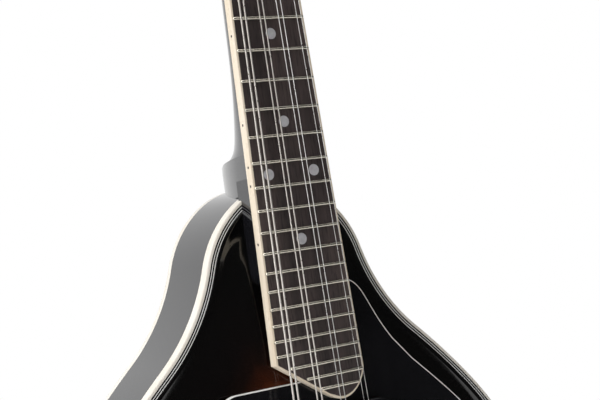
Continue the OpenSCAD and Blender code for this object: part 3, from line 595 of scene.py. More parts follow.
nickel = make_metal("nickel_plate", (0.76, 0.73, 0.67), 0.14)
fret_wire = make_metal("fret_wire", (0.66, 0.62, 0.53), 0.22, stretch=(0.1, 1.0, 1.0), edge=0.0)
plain_steel = make_metal("plain_steel", (0.60, 0.60, 0.60), 0.28)
brass = make_metal("brass", (0.80, 0.58, 0.26), 0.2)
print("finishes made:", len(bpy.data.materials))

# %% [markdown]
# ## The arched plates
# The top and back are carved plates: flat at the very edge, a shallow hollow just inside it, and
# then a smooth crown. The crown's height at each ring follows one formula, so the plate is a
# loft of shrinking rings. The top is dark at its edge and amber in the middle, so each
# point also remembers how far in from the edge it lies, and the finish reads that number.
# Under the neck extension and the fretboard's overhang that number is cut down as well, which
# paints shade there.

# %% Plate surfaces
FRONT = -22.0
BACK = 22.0
CROWN_Z = 168.0
CROWN_START = 14.0
FLAT_WIDTH = 3.7
TOP_RISE = 14.0
BACK_RISE = 12.0


def crown(k, rise):
    return 0.4 + (rise - 0.4) * (1.0 - k * k) ** 1.15


def hollow(inset, start):
    """Height above the edge between the flat border and the start of the crown."""
    t = (inset - start) / (CROWN_START - start)
    return 0.4 * t * t * (3.0 - 2.0 * t) - 0.75 * math.sin(math.pi * t) ** 2 * (1.0 - t * 0.4)


def plate_rings(rise, start, sign, thin=0.0):
    """Rings of one face of a plate: (points, inset). sign is -1 in front and +1 behind."""
    edge = FRONT if sign < 0 else BACK
    rings = []
    for i in range(7):
        inset = start + (CROWN_START - start) * i / 6
        y = edge + sign * (hollow(inset, start) - thin)
        rings.append(([(x * MM, y * MM, z * MM) for x, z in outline(inset)], inset))
    rim = outline(CROWN_START)
    for i in range(1, 31):
        k = 1.0 - i / 31
        y = edge + sign * (crown(k, rise) - thin)
        points = [(x * k * MM, y * MM, (CROWN_Z + (z - CROWN_Z) * k) * MM) for x, z in rim]
        rings.append((points, CROWN_START + (1.0 - k) * 118.0))
    return rings


def level_ring(inset, y):
    return [(x * MM, y * MM, z * MM) for x, z in outline(inset)]


def plate_mesh(outer, inner, wall):
    """Closed solid: outer face rings, a stepped edge, and the inner face rings."""
    rings = [r for r, _ in reversed(inner)] + wall + [r for r, _ in outer]
    insets = [d for _, d in reversed(inner)] + [1.5] * len(wall) + [d for _, d in outer]
    verts, faces = loft(rings)
    n = len(rings[0])
    return verts, faces, [insets[i // n] for i in range(len(verts))]


# painted shade: from this height towards the neck, the sunburst is made dark under the neck extension and
# the fretboard's overhang, with a sloping fade
BOARD_SHADE_TOP = 303.0
BOARD_SHADE_SLOPE = 1.1


def remember_inset_and_shade(mesh, values):
    """Keeps how far in the sunburst each point is. Near the neck it also paints shade: under the neck
    extension and the fretboard's overhang, points count as close to the edge, so the burst turns dark
    there.
    """
    layer = mesh.attributes.new("inset_and_shade_mm", "FLOAT", "POINT")
    below = [max(0.0, BOARD_SHADE_SLOPE * (BOARD_SHADE_TOP - v.co.z / MM)) for v in mesh.vertices]
    layer.data.foreach_set("value", [min(pair) for pair in zip(values, below)])


# %% Top plate blank
top_outer = plate_rings(TOP_RISE, FLAT_WIDTH, -1)
top_inner = plate_rings(TOP_RISE, 8.0, -1, thin=4.2)
top_wall = [level_ring(1.5, -16.8), level_ring(1.5, -20.8), level_ring(3.7, -20.8)]
verts, faces, insets = plate_mesh(top_outer, top_inner, top_wall)
top_mesh = closed_mesh("top_plate_lacquered", verts, faces)
remember_inset_and_shade(top_mesh, insets)
print("top plate blank:", len(verts), "points")

# %% [markdown]
# ## Sound holes
# The two f-holes are cut right through the top. A cut breaks the neat rings into odd faces, and
# a glossy surface would show them as creases. So before cutting, the plate's own smooth
# normals are kept in a search tree, and after cutting they are put back on the lacquered face.

# %% Cut the holes
SCALE = 350.0
LEAN = math.radians(3.03)
NUT_RISE = 173.6
BRIDGE_Z = TOP_Z + NUT_RISE - (SCALE + 2.0) * math.cos(LEAN)


def bezier(p, t):
    q = 1.0 - t
    weights = (q**3, 3 * q * q * t, 3 * q * t * t, t**3)
    return tuple(sum(w * c for w, c in zip(weights, row)) for row in zip(*p))


def bezier_run(p, count):
    return [bezier(p, i / count) for i in range(count + 1)]


def f_hole_slot(side_of):
    spine = [(40.0, BRIDGE_Z + 52), (57.0, BRIDGE_Z + 40), (44.0, BRIDGE_Z - 38), (63.0, BRIDGE_Z - 55)]
    middle = bezier_run(spine, 30)
    half = [1.2 + 2.1 * math.sin(math.pi * i / 30) for i in range(31)]
    left = [(side_of * (x - h), z) for (x, z), h in zip(middle, half)]
    right = [(side_of * (x + h), z) for (x, z), h in zip(middle, half)]
    return left + right[::-1], (middle[15][0] * side_of, middle[15][1])


def round_hole(x, z, radius, count=48):
    turns = [2 * math.pi * i / count for i in range(count)]
    return [(x + radius * math.cos(a), z + radius * math.sin(a)) for a in turns]


def front_lay(x, z, y):
    return (x * MM, y * MM, z * MM)


def top_cutter(name, outline_points):
    return cutter(name, *prism(outline_points, front_lay, -50.0, -10.0))


def restore_smooth_face(mesh, source, sign):
    """Gives loops of the outer face the normals of the plate before it was cut."""
    source.calc_loop_triangles()
    points = [v.co.copy() for v in source.vertices]
    smooth = [v.normal.copy() for v in source.vertices]
    triangles = [tuple(t.vertices) for t in source.loop_triangles if t.normal.y * sign > 0.75]
    tree = BVHTree.FromPolygons(points, triangles)
    normals = [Vector((0.0, 0.0, 0.0))] * len(mesh.loops)
    for face in mesh.polygons:
        if face.normal.y * sign < 0.75:
            continue
        for li in face.loop_indices:
            here = mesh.vertices[mesh.loops[li].vertex_index].co
            near, _, index, _ = tree.find_nearest(here)
            a, b, c = triangles[index]
            weights = [1.0 / ((points[i] - near).length + 1e-9) for i in (a, b, c)]
            mixed = sum((smooth[i] * w for i, w in zip((a, b, c), weights)), Vector())
            normals[li] = mixed.normalized()
    mesh.normals_split_custom_set(normals)


tools = []
for side_of in (-1, 1):
    slot_points, notch = f_hole_slot(side_of)
    tools.append(top_cutter("f_slot", slot_points))
    tools.append(top_cutter("upper_eye", round_hole(side_of * 36.5, BRIDGE_Z + 49, 4.0)))
    tools.append(top_cutter("lower_eye", round_hole(side_of * 66.5, BRIDGE_Z - 52, 5.0)))
    nx, nz = notch
    nick = [(nx - 4.8, nz - 0.8), (nx + 4.8, nz - 0.4), (nx + 4.8, nz + 0.8), (nx - 4.8, nz + 0.4)]
    tools.append(top_cutter("notch", nick))
smooth_top = top_mesh.copy()
cut_top = cut_through(top_mesh, tools)
cut_top.name = "top_plate_lacquered"
place_mesh("top_plate_lacquered", cut_top, "instrument", sunburst, "sunburst_top", ["top_plate"])
restore_smooth_face(cut_top, smooth_top, -1)
print("top plate after cutting:", len(cut_top.polygons), "faces")

# %% [markdown]
# ## Back, ribs and bindings
# The back is carved like the top but in black lacquer and without holes. The ribs are one thin
# strip bent round the outline. Where they meet, a strip of ivory plastic is let into the corner.
# Its outer edge is scraped slightly round, which is what makes a bright line along it.

# %% Back plate and ribs
back_outer = plate_rings(BACK_RISE, 3.0, 1)
back_inner = plate_rings(BACK_RISE, 8.0, 1, thin=3.6)
verts, faces, _ = plate_mesh(back_outer, back_inner, [level_ring(1.5, 18.0), level_ring(1.5, 22.0)])
make_piece("back_plate_lacquered", verts, faces, "instrument", black_lacquer,
           "black_lacquer_wood", ["back_plate"])


def band(name, section, finish, slot, nodes):
    """A strip that runs all round the outline. section lists (inset, y) corners in order."""
    rings = [level_ring(inset, y) for inset, y in section]
    verts, faces = loft(rings + [rings[0]], capped=False)
    return make_piece(name, verts, faces, "instrument", finish, slot, nodes, sharp=40.0)


rib_section = [(0.0, -16.8), (0.0, 18.0), (2.5, 18.0), (2.5, -16.8)]
band("bent_ribs", rib_section, black_lacquer, "black_lacquer_wood", ["ribs"])
scraped = [(0.0, 21.3), (0.12, 21.72), (0.35, 21.93), (0.75, 22.0), (1.5, 22.0)]
round_front = [(0.0, -16.8)] + [(inset, -y) for inset, y in scraped] + [(1.5, -16.8)]
band("top_edge_binding", round_front, ivory, "ivory_plastic", ["top_binding"])
round_rear = [(0.0, 18.0)] + scraped + [(1.5, 18.0)]
band("back_edge_binding", round_rear, ivory, "ivory_plastic", ["back_binding"])

# %% Purfling lines inside the top binding


WHITE_LINES = [(2.15, 2.5), (3.2, 3.55)]


def distance_in(point, edge):
    """Shortest distance in millimetres from a point to the body's edge, seen from the front."""
    here = Vector((point.x / MM, point.z / MM))
    best = 1e9
    for i in range(len(edge)):
        a = edge[i - 1]
        b = edge[i]
        along = b - a
        t = max(0.0, min(1.0, (here - a).dot(along) / along.length_squared))
        best = min(best, (here - a - along * t).length)
    return best


def purfling():
    section = [(1.5, FRONT)] + [(d, FRONT) for line in WHITE_LINES for d in line]
    section += [(FLAT_WIDTH, FRONT), (FLAT_WIDTH, -20.9), (1.5, -20.9)]
    piece = band("striped_purfling", section, black_plastic, "purfling_lines", ["top_purfling"])
    piece.data.materials.append(white_plastic)
    edge = [Vector(p) for p in outline(0.0)]
    for face in piece.data.polygons:
        away = distance_in(face.center, edge)
        face.material_index = int(any(low < away < high for low, high in WHITE_LINES))


purfling()

# %% [markdown]
# ## The neck frame
# The neck leans back about three degrees, so its parts are easiest to give in its own frame: x
# across, y down from the fretboard's face into the neck, and d along it from the nut. One short
# function carries a point from there into the instrument's frame, and another does the same
# for the headstock, which leans back a further fourteen degrees.

# %% Neck and headstock frames
HEAD_LEAN = math.radians(14.0)
NUT = (0.0, -26.8, TOP_Z + NUT_RISE)
NUT_LENGTH = 4.5
HEAD_DROP = 3.0


def lean(y, z, angle):
    return y * math.cos(angle) + z * math.sin(angle), -y * math.sin(angle) + z * math.cos(angle)


def on_neck(x, y, d):
    yy, zz = lean(y, -d, LEAN)
    return (x * MM, (yy + NUT[1]) * MM, (zz + NUT[2]) * MM)


def on_head(x, y, z):
    yy, zz = lean(y, z, HEAD_LEAN)
    return on_neck(x, yy + HEAD_DROP, -(zz + NUT_LENGTH))


def half_width(d):
    return (30.3 + 0.0454 * d) / 2


# %% [markdown]
# ## Neck, heel and headstock in one skin
# The neck is carved from one piece of wood, so it is one loft: a half-round shaft that deepens
# into the heel at the body, squares off past the nut and becomes the flat headstock. Each ring
# is a rounded shape whose squareness, depth and width are read from a few stations and
# blended between them.

# %% Headstock outline


def headstock_half():
    left = [(15.1, -4.5), (15.15, 1.0)] + bezier_run([(15.3, 3), (16.5, 11), (24, 12), (29, 20)], 16)
    return left + bezier_run([(31.5, 142), (31.5, 153), (14, 149), (0, 158)], 26)


def head_width(z):
    points = headstock_half()
    for (x0, z0), (x1, z1) in zip(points, points[1:]):
        if z0 <= z <= z1 and z1 > z0:
            return x0 + (x1 - x0) * (z - z0) / (z1 - z0)
    return points[-1][0] if z > 158 else points[0][0]


# %% Neck loft
# distance from the nut, depth below the fretboard, squareness (1 is half-round), taper to the back
SHAFT = [
    (176.5, 54.0, 0.70, 0.44), (160.5, 53.6, 0.70, 0.44), (159.5, 46.0, 0.76, 0.36),
    (158.0, 39.0, 0.82, 0.28), (155.5, 33.0, 0.88, 0.20), (151.0, 28.6, 0.92, 0.14),
    (144.0, 24.5, 0.95, 0.08), (134.0, 20.0, 0.98, 0.02), (124.0, 17.6, 1.0, 0.0),
    (112.0, 16.8, 1.0, 0.0), (90.0, 16.2, 1.0, 0.0), (60.0, 15.6, 1.0, 0.0),
    (36.0, 15.2, 1.0, 0.0), (12.0, 15.0, 1.0, 0.0), (0.0, 15.0, 0.80, 0.0),
]
# where the shaft turns into the headstock: place along it, squareness
THROAT = [(2.2, 0.62), (4, 0.52), (6, 0.42), (8.5, 0.33), (11, 0.26), (14, 0.19), (17, 0.13), (20, 0.10)]
BOARD_T = 5.0
VENEER_T = 1.6
HEAD_T = 13.4
HALF_RING = 28


def blended(stations, count):
    """Stations with smooth in-between ones: a curve through four neighbours at a time."""
    full = []
    for i in range(len(stations) - 1):
        before = stations[max(0, i - 1)]
        a = stations[i]
        b = stations[i + 1]
        after = stations[min(len(stations) - 1, i + 2)]
        for j in range(count):
            t = j / count
            row = []
            for p, q, r, s in zip(before, a, b, after):
                slope_q = (r - p) / 2
                slope_r = (s - q) / 2
                value = ((2 * t**3 - 3 * t * t + 1) * q + (t**3 - 2 * t * t + t) * slope_q
                         + (3 * t * t - 2 * t**3) * r + (t**3 - t * t) * slope_r)
                row.append(min(max(value, min(q, r)), max(q, r)))
            full.append(row)
    full.append(list(stations[-1]))
    return full


def rounded_ring(half, front, depth, square, taper, lay):
    ring = []
    for i in range(HALF_RING + 1):
        a = math.pi * i / HALF_RING
        c = math.cos(a)
        s = math.sin(a)
        x = half * math.copysign(abs(c) ** square, c) * (1.0 - taper * s)
        ring.append(lay(x, front + depth * s**square))
    return ring


def neck_skin():
    rings = []
    for d, depth, square, taper in blended(SHAFT, 4):
        half = half_width(min(d, 178.0)) - 0.6
        ring = rounded_ring(half, BOARD_T, depth, square, taper, lambda x, y: on_neck(x, y, d))
        rings.append([(x, min(y, 21.85 * MM), z) for x, y, z in ring])
    crest = [142 + 16 * (i / 20) ** 0.8 for i in range(1, 20)]
    head = [(z, 0.08, 0.0) for z in [40, 70, 100, 130, 142] + crest + [157.9]]
    for z, square, extra in [(z, square, 1.6 * (1.0 - z / 22.0)) for z, square in THROAT] + head:
        half = max(0.3, head_width(z))
        depth = HEAD_T + extra
        rings.append(rounded_ring(half, VENEER_T, depth, square, 0.0, lambda x, y: on_head(x, y, z)))
    return loft(rings)


verts, faces = neck_skin()
neck_piece = make_piece("carved_neck", verts, faces, "instrument", black_lacquer,
                        "black_lacquer_wood", ["neck"], 50.0)
soften(neck_piece, 0.0006, 3, 50.0)
print("neck skin:", len(verts), "points")

# %% Neck extension over the top, and the riser beyond it


def corner_run(cx, cd, radius, start, stop, count=10):
    """Points round a corner's arc, from one heading to another."""
    run = []
    for i in range(count + 1):
        a = math.radians(start + (stop - start) * i / count)
        run.append((cx + radius * math.cos(a), cd - radius * math.sin(a)))
    return run


def neck_lay(x, d, y):
    return on_neck(x, y, d)


def extension_outline():
    w0 = half_width(170.0) - 0.6
    w1 = half_width(217.0) - 0.6
    left_foot = corner_run(7.0 - w1, 210.0, 7.0, 180.0, 270.0, 12)
    right_foot = corner_run(w1 - 7.0, 210.0, 7.0, 270.0, 360.0, 12)
    return [(w0, 170.0), (-w0, 170.0)] + left_foot + right_foot


verts, faces = prism(extension_outline(), neck_lay, 5.02, 17.0)
make_piece("neck_extension", verts, faces, "instrument", black_lacquer, "black_lacquer_wood")
riser_sides = [(-9.0, 216.0), (9.0, 216.0), (9.0, 250.0), (-9.0, 250.0)]
verts, faces = prism(riser_sides, neck_lay, 5.02, 14.0)
riser = make_piece("overhang_riser", verts, faces, "instrument", black_lacquer,
                   "black_lacquer_wood", ["fretboard_riser"])
soften(riser, 0.0005)

# %% Headstock veneer
head_face = [p for p in headstock_half() if p[1] > 0.4]
head_face = head_face + [(-x, z) for x, z in reversed(head_face[:-1])]
verts, faces = prism(head_face, lambda x, z, y: on_head(x, y, z), 0.0, VENEER_T)
veneer = make_piece("headstock_face", verts, faces, "instrument", black_lacquer,
                    "black_lacquer_wood", ["headstock_veneer"])
soften(veneer, 0.0004)

# %% [markdown]
# ## Fretboard
# The board itself is flat and planed, so the solid node stays and gets a rosewood finish. Its
# ivory binding is made again with a softened edge, because in gloss and close up a
# mathematically sharp corner never catches the light.

# %% Fretboard binding


def board_outline(inset):
    w = half_width(0) - inset
    we = half_width(258) - inset
    nose_hull = [(5.0, 267.4 - 1.2 * inset), (10.0, 270.2 - inset), (18.0, 267 - inset), (we, 257.0)]
    left = [(w, 0.0), (-w, 0.0), (-(half_width(249.5) - inset), 249.6 - 0.28 * inset)]
    return left + [(3.0 - 0.55 * inset, 264.2 + 2.1 - 1.2 * inset)] + bezier_run(nose_hull, 24)


layers = [(0.0, BOARD_T), (0.0, 0.35), (0.10, 0.10), (0.35, 0.0), (1.0, 0.0), (1.0, BOARD_T)]
rings = [[on_neck(x, y, d) for x, d in board_outline(inset)] for inset, y in layers]
verts, faces = loft(rings + [rings[0]], capped=False)
make_piece("fretboard_edge", verts, faces, "instrument", tan_ivory,
           "ivory_plastic", ["fretboard_binding"], 40.0)
print("board edge:", len(rings[0]), "points round")

# %% [markdown]
# ## Frets
# Each fret is a strip of half-round wire pressed into a slot. After it is seated, its ends are
# filed to a slant so they don't catch the hand. The wire is lofted along x with the ends drawn
# in and down to make that slant.

# %% Fret wire
FRET_HEIGHT = 0.85
# a filed end: distance in from the tip, half the width, height
FRET_END = [(0.0, 0.40, 0.12), (0.10, 0.56, 0.45), (0.32, 0.67, 0.75), (0.6, 0.7, FRET_HEIGHT)]


def fret_place(n):
    return SCALE * (1.0 - 2.0 ** (-n / 12.0))


def fret_span(n):
    """Where a fret starts and stops. The last three are cut short by the slanted end."""
    left = {22: -14.6, 23: -7.6, 24: -1.6}.get(n, -(half_width(fret_place(n)) - 0.35))
    right = {23: 20.2, 24: 17.6}.get(n, half_width(fret_place(n)) - 0.35)
    return left, right


def fret_ring(x, d, width, height):
    ring = []
    for i in range(13):
        a = math.pi * i / 12
        ring.append(on_neck(x, -height * math.sin(a) ** 0.85, d + width * math.cos(a)))
    ring.append(on_neck(x, 0.4, d - width * 0.5))
    ring.append(on_neck(x, 0.4, d + width * 0.5))
    return ring


def one_fret(n):
    left, right = fret_span(n)
    d = fret_place(n)
    rings = [fret_ring(left + t, d, w, h) for t, w, h in FRET_END]
    rings += [fret_ring(right - t, d, w, h) for t, w, h in reversed(FRET_END)]
    return loft(rings)


verts, faces = join_meshes([one_fret(n) for n in range(1, 25)])
make_piece("fret_wires", verts, faces, "instrument", fret_wire, "fret_wire", ["frets"], 50.0)
print("last fret lies", round(fret_place(24), 1), "mm from the nut")

# %% [markdown]
# ## Position marks
# Players look down at the bass edge of the board, so small black pegs are set in the binding
# beside each face dot, and a pair beside the twelfth fret. They stand a hair proud and are
# sanded to a very low dome.

# %% Side marks


SIDE_MARKS = [(3, 0), (5, 0), (7, 0), (10, 0), (12, -4), (12, 4), (15, 0)]


def side_mark(fret, shift):
    d = (fret_place(fret) + fret_place(fret - 1)) / 2 + shift
    edge = -half_width(d)
    rings = []
    for out, radius in [(0.3, 0.6), (-0.03, 0.6), (-0.05, 0.4)]:
        ring = []
        for i in range(20):
            a = 2 * math.pi * i / 20
            ring.append(on_neck(edge + out, 2.5 + radius * math.sin(a), d + radius * math.cos(a)))
        rings.append(ring)
    return loft(rings)


verts, faces = join_meshes([side_mark(fret, shift) for fret, shift in SIDE_MARKS])
make_piece("side_marks", verts, faces, "instrument", black_plastic, "black_plastic", ["side_dots"])
print("side marks:", len(SIDE_MARKS))

# %% [markdown]
# ## Machined parts keep their solid, with eased edges
# The nut, bridge, tailpiece and tuner plates are already the right shape. A real edge is never
# knife sharp, though: files and polishing leave a small round that catches a thin line of light.
# So each of these is a copy of its solid whose flat faces are merged and edges are bevelled.

# %% Eased copies


def eased_copy(node, name, body, width, finish, slot):
    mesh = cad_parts[node].data.copy()
    work = bmesh.new()
    work.from_mesh(mesh)
    bmesh.ops.remove_doubles(work, verts=work.verts, dist=2e-6)
    bmesh.ops.dissolve_limit(work, angle_limit=math.radians(0.6), verts=work.verts, edges=work.edges)
    work.to_mesh(mesh)
    work.free()
    piece = place_mesh(name, mesh, body, finish, slot, [node], 32.0)
    piece.matrix_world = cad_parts[node].matrix_world.copy()
    soften(piece, width, 2, 28.0)


eased_copy("nut", "bone_nut", "instrument", 0.0003, bone, "bone")
eased_copy("truss_rod_cover", "truss_cover_plate", "instrument", 0.0003, black_plastic, "black_plastic")
eased_copy("bridge_base", "bridge_foot", "instrument", 0.0005, ebony, "ebony")
eased_copy("bridge_saddle", "bridge_saddle_bar", "saddle", 0.0004, ebony, "ebony")
eased_copy("tailpiece_base", "tailpiece_hook_plate", "instrument", 0.00015, nickel, "nickel")
eased_copy("tailpiece_cover", "tailpiece_slide_cover", "tailpiece_lid", 0.0003, nickel, "nickel")
eased_copy("tuner_plates", "tuner_strips", "instrument", 0.00015, nickel, "nickel")
print("eased copies made")

# %% [markdown]
# ## Pickguard
# The guard is a sheet of glossy black plastic with a thin white line round its edge, and a
# racetrack hole for the pickup. It floats over the top on rubber feet. Its outline is five
# smooth curves, drawn once and moved inwards for the black sheet, so the white line keeps an
# even width.

# %% Guard outline
GUARD_Y = 5.3
GUARD_T = 2.0
TRIM = 0.4


def guard_outline():
    run = [(12.0, 218.2)]
    run += bezier_run([(21, 218.2), (30.5, 220.5), (30, 231.5), (41, 247.5)], 26)
    run += bezier_run([(49.4, 257.7), (62, 270.5), (76, 283), (85, 300)], 20)
    run += bezier_run([(88, 306), (93, 328), (90, 350), (80, 352)], 22)
    run += bezier_run([(72, 353), (66, 345), (58, 338), (50, 324)], 18)
    run += bezier_run([(44, 313), (38, 303), (28, 303), (16, 303)], 16)
    run += [(-36.0, 303.0)] + corner_run(-38.0, 293.0, 10.0, 270.0, 180.0)
    run += corner_run(-38.0, 268.4, 10.0, 180.0, 90.0) + [(-6.0, 258.4), (12.0, 258.4)]
    return run


def moved_in(points, distance):
    """The same outline drawn a little smaller, each corner moved along its mitre."""
    area = sum(a[0] * b[1] - b[0] * a[1] for a, b in zip(points, points[1:] + points[:1]))
    turn_sign = 1.0 if area > 0 else -1.0
    moved = []
    for i, here in enumerate(points):
        before = Vector(points[i - 1])
        after = Vector(points[(i + 1) % len(points)])
        first = (Vector(here) - before).normalized()
        second = (after - Vector(here)).normalized()
        n1 = Vector((-first.y, first.x)) * turn_sign
        n2 = Vector((-second.y, second.x)) * turn_sign
        mitre = n1 + n2
        mitre = mitre * (2.0 / max(0.4, mitre.length_squared))
        moved.append((here[0] + mitre.x * distance, here[1] + mitre.y * distance))
    return moved


guard_edge = guard_outline()
print("guard outline:", len(guard_edge), "points")

# %% Guard sheet with its pickup hole, and the white line
PICKUP_D = 280.5


def racetrack(length, width, count=20):
    run = []
    radius = width / 2
    for side_of, start in ((1, -90.0), (-1, 90.0)):
        centre = side_of * (length / 2 - radius)
        for i in range(count + 1):
            a = math.radians(start + 180.0 * i / count)
            run.append((centre + radius * math.cos(a), PICKUP_D + radius * math.sin(a)))
    return run


def guard_cutter(name, outline_points):
    return cutter(name, *prism(outline_points, neck_lay, 0.0, 12.0))


GUARD_BACK = GUARD_Y + GUARD_T
# across the string line, along it, radius
SCREW_HOLES = [
    (-43, 272, 1.3), (-43, 291, 1.3), (78, 343, 1.3),
    (-38.6, PICKUP_D, 1.4), (38.6, PICKUP_D, 1.4),
]
verts, faces = prism(moved_in(guard_edge, TRIM), neck_lay, GUARD_Y, GUARD_BACK)
tools = [guard_cutter("pickup_hole", racetrack(70.6, 18.6))]
for x, d, radius in SCREW_HOLES:
    tools.append(guard_cutter("guard_hole", round_hole(x, d, radius, 24)))
sheet = cut_through(closed_mesh("guard_sheet", verts, faces), tools)
place_mesh("guard_sheet", sheet, "instrument", black_plastic, "black_plastic", ["pickguard"])
trim_layers = [
    (TRIM, GUARD_BACK), (0.0, GUARD_BACK), (0.0, GUARD_Y + 0.15), (0.12, GUARD_Y), (TRIM, GUARD_Y),
]
rings = [[on_neck(x, y, d) for x, d in moved_in(guard_edge, inset)] for inset, y in trim_layers]
verts, faces = loft(rings + [rings[0]], capped=False)
make_piece("guard_white_line", verts, faces, "instrument", white_plastic,
           "white_plastic", ["pickguard_trim"])

# %% Pickup cover
outer = [(0.0, 11.3), (0.0, 1.6), (0.09, 1.3), (0.25, 1.03), (0.5, 0.86), (0.85, 0.8)]
inner = [(1.2, 2.0), (1.2, 11.3)]
rings = []
for inset, y in inner + outer:
    rings.append([on_neck(x, y, d) for x, d in racetrack(70 - 2 * inset, 18 - 2 * inset)])
verts, faces = loft(rings)
make_piece("pickup_shell", verts, faces, "instrument", black_plastic,
           "black_plastic", ["pickup_cover"], 50.0)

# %% [markdown]
# ## Strings
# A mandolin has four pairs of steel strings. Each runs from a hook on the tailpiece, over the saddle
# and the nut, and winds round its post. The two lengths that meet the saddle are joined to no
# body. The turns on a post belong to that post and go round with it. A string is a tube swept
# along its path.

# %% Tubes along a path


def tube(points, radius, sides=12):
    path = [Vector(p) for p in points]
    ahead = (path[1] - path[0]).normalized()
    across = ahead.orthogonal().normalized()
    rings = []
    for i, here in enumerate(path):
        before = path[max(0, i - 1)]
        after = path[min(len(path) - 1, i + 1)]
        ahead = (after - before).normalized()
        across = (across - ahead * across.dot(ahead)).normalized()
        other = ahead.cross(across)
        ring = []
        for j in range(sides):
            a = 2 * math.pi * j / sides
            ring.append(here + (across * math.cos(a) + other * math.sin(a)) * radius)
        rings.append(ring)
    return loft(rings)


# %% String places
GAUGE = [0.45, 0.45, 0.32, 0.32, 0.2, 0.2, 0.14, 0.14]
POST_OF = [1, 2, 3, 4, 8, 7, 6, 5]
POST_X = 18.5
POST_R = 3.0
SADDLE_Y = FRONT - 29.3
PLATE_Y = FRONT - 12.0
PAIR_GAP = 2.2
POST_PITCH = 23.0
POST_HOLE_Y = -7.5


def spread(d):
    """Half the distance between the outer pairs, which fan out towards the bridge."""
    return 11.5 + (18.2 - 11.5) * d / SCALE


def string_x(i, d):
    return [-1, -1 / 3, 1 / 3, 1][i // 2] * spread(d) + (i % 2 - 0.5) * PAIR_GAP


def post_place(n):
    """Across and along the headstock of tuner post n, counted from 1."""
    side_of = -1 if n < 5 else 1
    return side_of, side_of * POST_X, 38.0 + POST_PITCH * ((n - 1) % 4)


def string_corners(i):
    hook = Vector((string_x(i, SCALE) * 0.72, PLATE_Y - 1.0, 56.3)) * MM
    saddle = Vector((string_x(i, SCALE), SADDLE_Y - 0.1, BRIDGE_Z)) * MM
    nut = Vector(on_neck(string_x(i, -2.0), -1.8 + 4.3 * 2.0 / SCALE, -2.0))
    side_of, px, pz = post_place(POST_OF[i])
    post = Vector(on_head(px - side_of * (POST_R + GAUGE[i] + 0.15), -6.3, pz))
    return hook, saddle, nut, post


def along(a, b, count):
    return [a.lerp(b, i / count) for i in range(count + 1)]


# %% String lengths


def make_string_metal(name, colour, wound):
    finish = Finish(name, colour, 0.3, metal=1.0)
    if wound:
        turns = finish.node("ShaderNodeTexWave")
        turns.bands_direction = "Z"
        turns.inputs["Scale"].default_value = 900.0
        finish.join(finish.place, turns.inputs["Vector"])
        finish.bump(turns.outputs["Fac"], 0.5, 0.0001)
    else:
        finish.bump(finish.noise(800.0, stretch=(1.0, 1.0, 0.1)), 0.04, 0.00005)
    finish.roughness(finish.spread(finish.noise(300.0), 0.24, 0.42))
    return finish.material


wound_string = make_string_metal("wound_string", (0.74, 0.70, 0.65), True)
plain_string = make_string_metal("plain_string", (0.76, 0.75, 0.73), False)
for i in range(8):
    hook, saddle, nut, post = string_corners(i)
    metal = wound_string if i < 4 else plain_string
    r = GAUGE[i] * MM
    replaced = ["strings"] if i == 0 else []
    verts, faces = tube(along(nut, saddle, 40), r)
    piece = make_piece(f"string_{i + 1}_speaking", verts, faces, None, metal, "string_wire", replaced)
    tuple(nut)
    tuple(saddle)
    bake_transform(piece)
    verts, faces = tube(along(hook, saddle, 16), r)
    piece = make_piece(f"string_{i + 1}_tail", verts, faces, None, metal, "string_wire")
    tuple(hook)
    tuple(saddle)
    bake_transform(piece)
    verts, faces = tube(along(nut, post, 4), r)
    make_piece(f"string_{i + 1}_head", verts, faces, "instrument", metal, "string_wire")
print("speaking length:", round((saddle - nut).length * 1000, 1), "mm")

# %% Turns round each post, and loops on the hooks


def post_winding(i):
    """The string's end comes through the hole in its post and winds down to where it leaves."""
    side_of, px, pz = post_place(POST_OF[i])
    gauge = GAUGE[i]
    reach = POST_R + gauge + 0.03
    turns = max(1.0, math.floor(1.2 / (2.04 * gauge) * 2) / 2)
    leave = 180.0 if side_of > 0 else 0.0
    sense = 1.0 if side_of > 0 else -1.0
    points = []
    count = int(turns * 28)
    start = leave - sense * 360.0 * turns
    sx = math.cos(math.radians(start))
    points.append(on_head(px - sx * (reach + 1.4), -7.9, pz + 0.5))
    points.append(on_head(px - sx * (POST_R + 0.2), -7.55, pz))
    points.append(on_head(px, POST_HOLE_Y, pz))
    points.append(on_head(px + sx * (POST_R - 0.3), POST_HOLE_Y, pz))
    for j in range(count + 1):
        a = math.radians(start + sense * 360.0 * turns * j / count)
        rise = POST_HOLE_Y + 1.2 * j / count
        points.append(on_head(px + reach * math.cos(a), rise, pz + reach * math.sin(a)))
    return tube(points, gauge * MM, 8)


def hook_loop(i):
    """A ring over the hook, and the close twist that locks it to the string."""
    hook, saddle, _, _ = string_corners(i)
    ahead = (saddle - hook).normalized()
    across = Vector((1.0, 0.0, 0.0))
    across = (across - ahead * across.dot(ahead)).normalized()
    points = []
    for j in range(25):
        a = 2 * math.pi * j / 24
        points.append(hook + ahead * (math.cos(a) * 1.5 - 0.9) * MM + across * math.sin(a) * 1.15 * MM)
    ring = tube(points, 0.16 * MM, 6)
    twist = []
    out = ahead.cross(across)
    for j in range(73):
        a = 2 * math.pi * j / 9
        radius = (GAUGE[i] + 0.1) * MM
        middle = hook + ahead * (0.8 + 7.0 * j / 72) * MM
        twist.append(middle + (across * math.cos(a) + out * math.sin(a)) * radius)
    return join_meshes([ring, tube(twist, 0.14 * MM, 6)])


for i in range(8):
    verts, faces = post_winding(i)
    metal = wound_string if i < 4 else plain_string
    make_piece(f"string_{i + 1}_turns", verts, faces, f"post_{POST_OF[i]}", metal, "string_wire")
    verts, faces = hook_loop(i)
    make_piece(f"string_{i + 1}_loop", verts, faces, "instrument", brass, "string_wire")

# %% [markdown]
# ## Tuners
# Turning a button turns a worm, a screw thread that pushes round one tooth of a brass gear for
# every turn. A thread is a surface whose radius depends on how far along and how far round it
# is, so it is made here as a grid with that rule instead of by sweeping a ridge.

# %% Lathe work


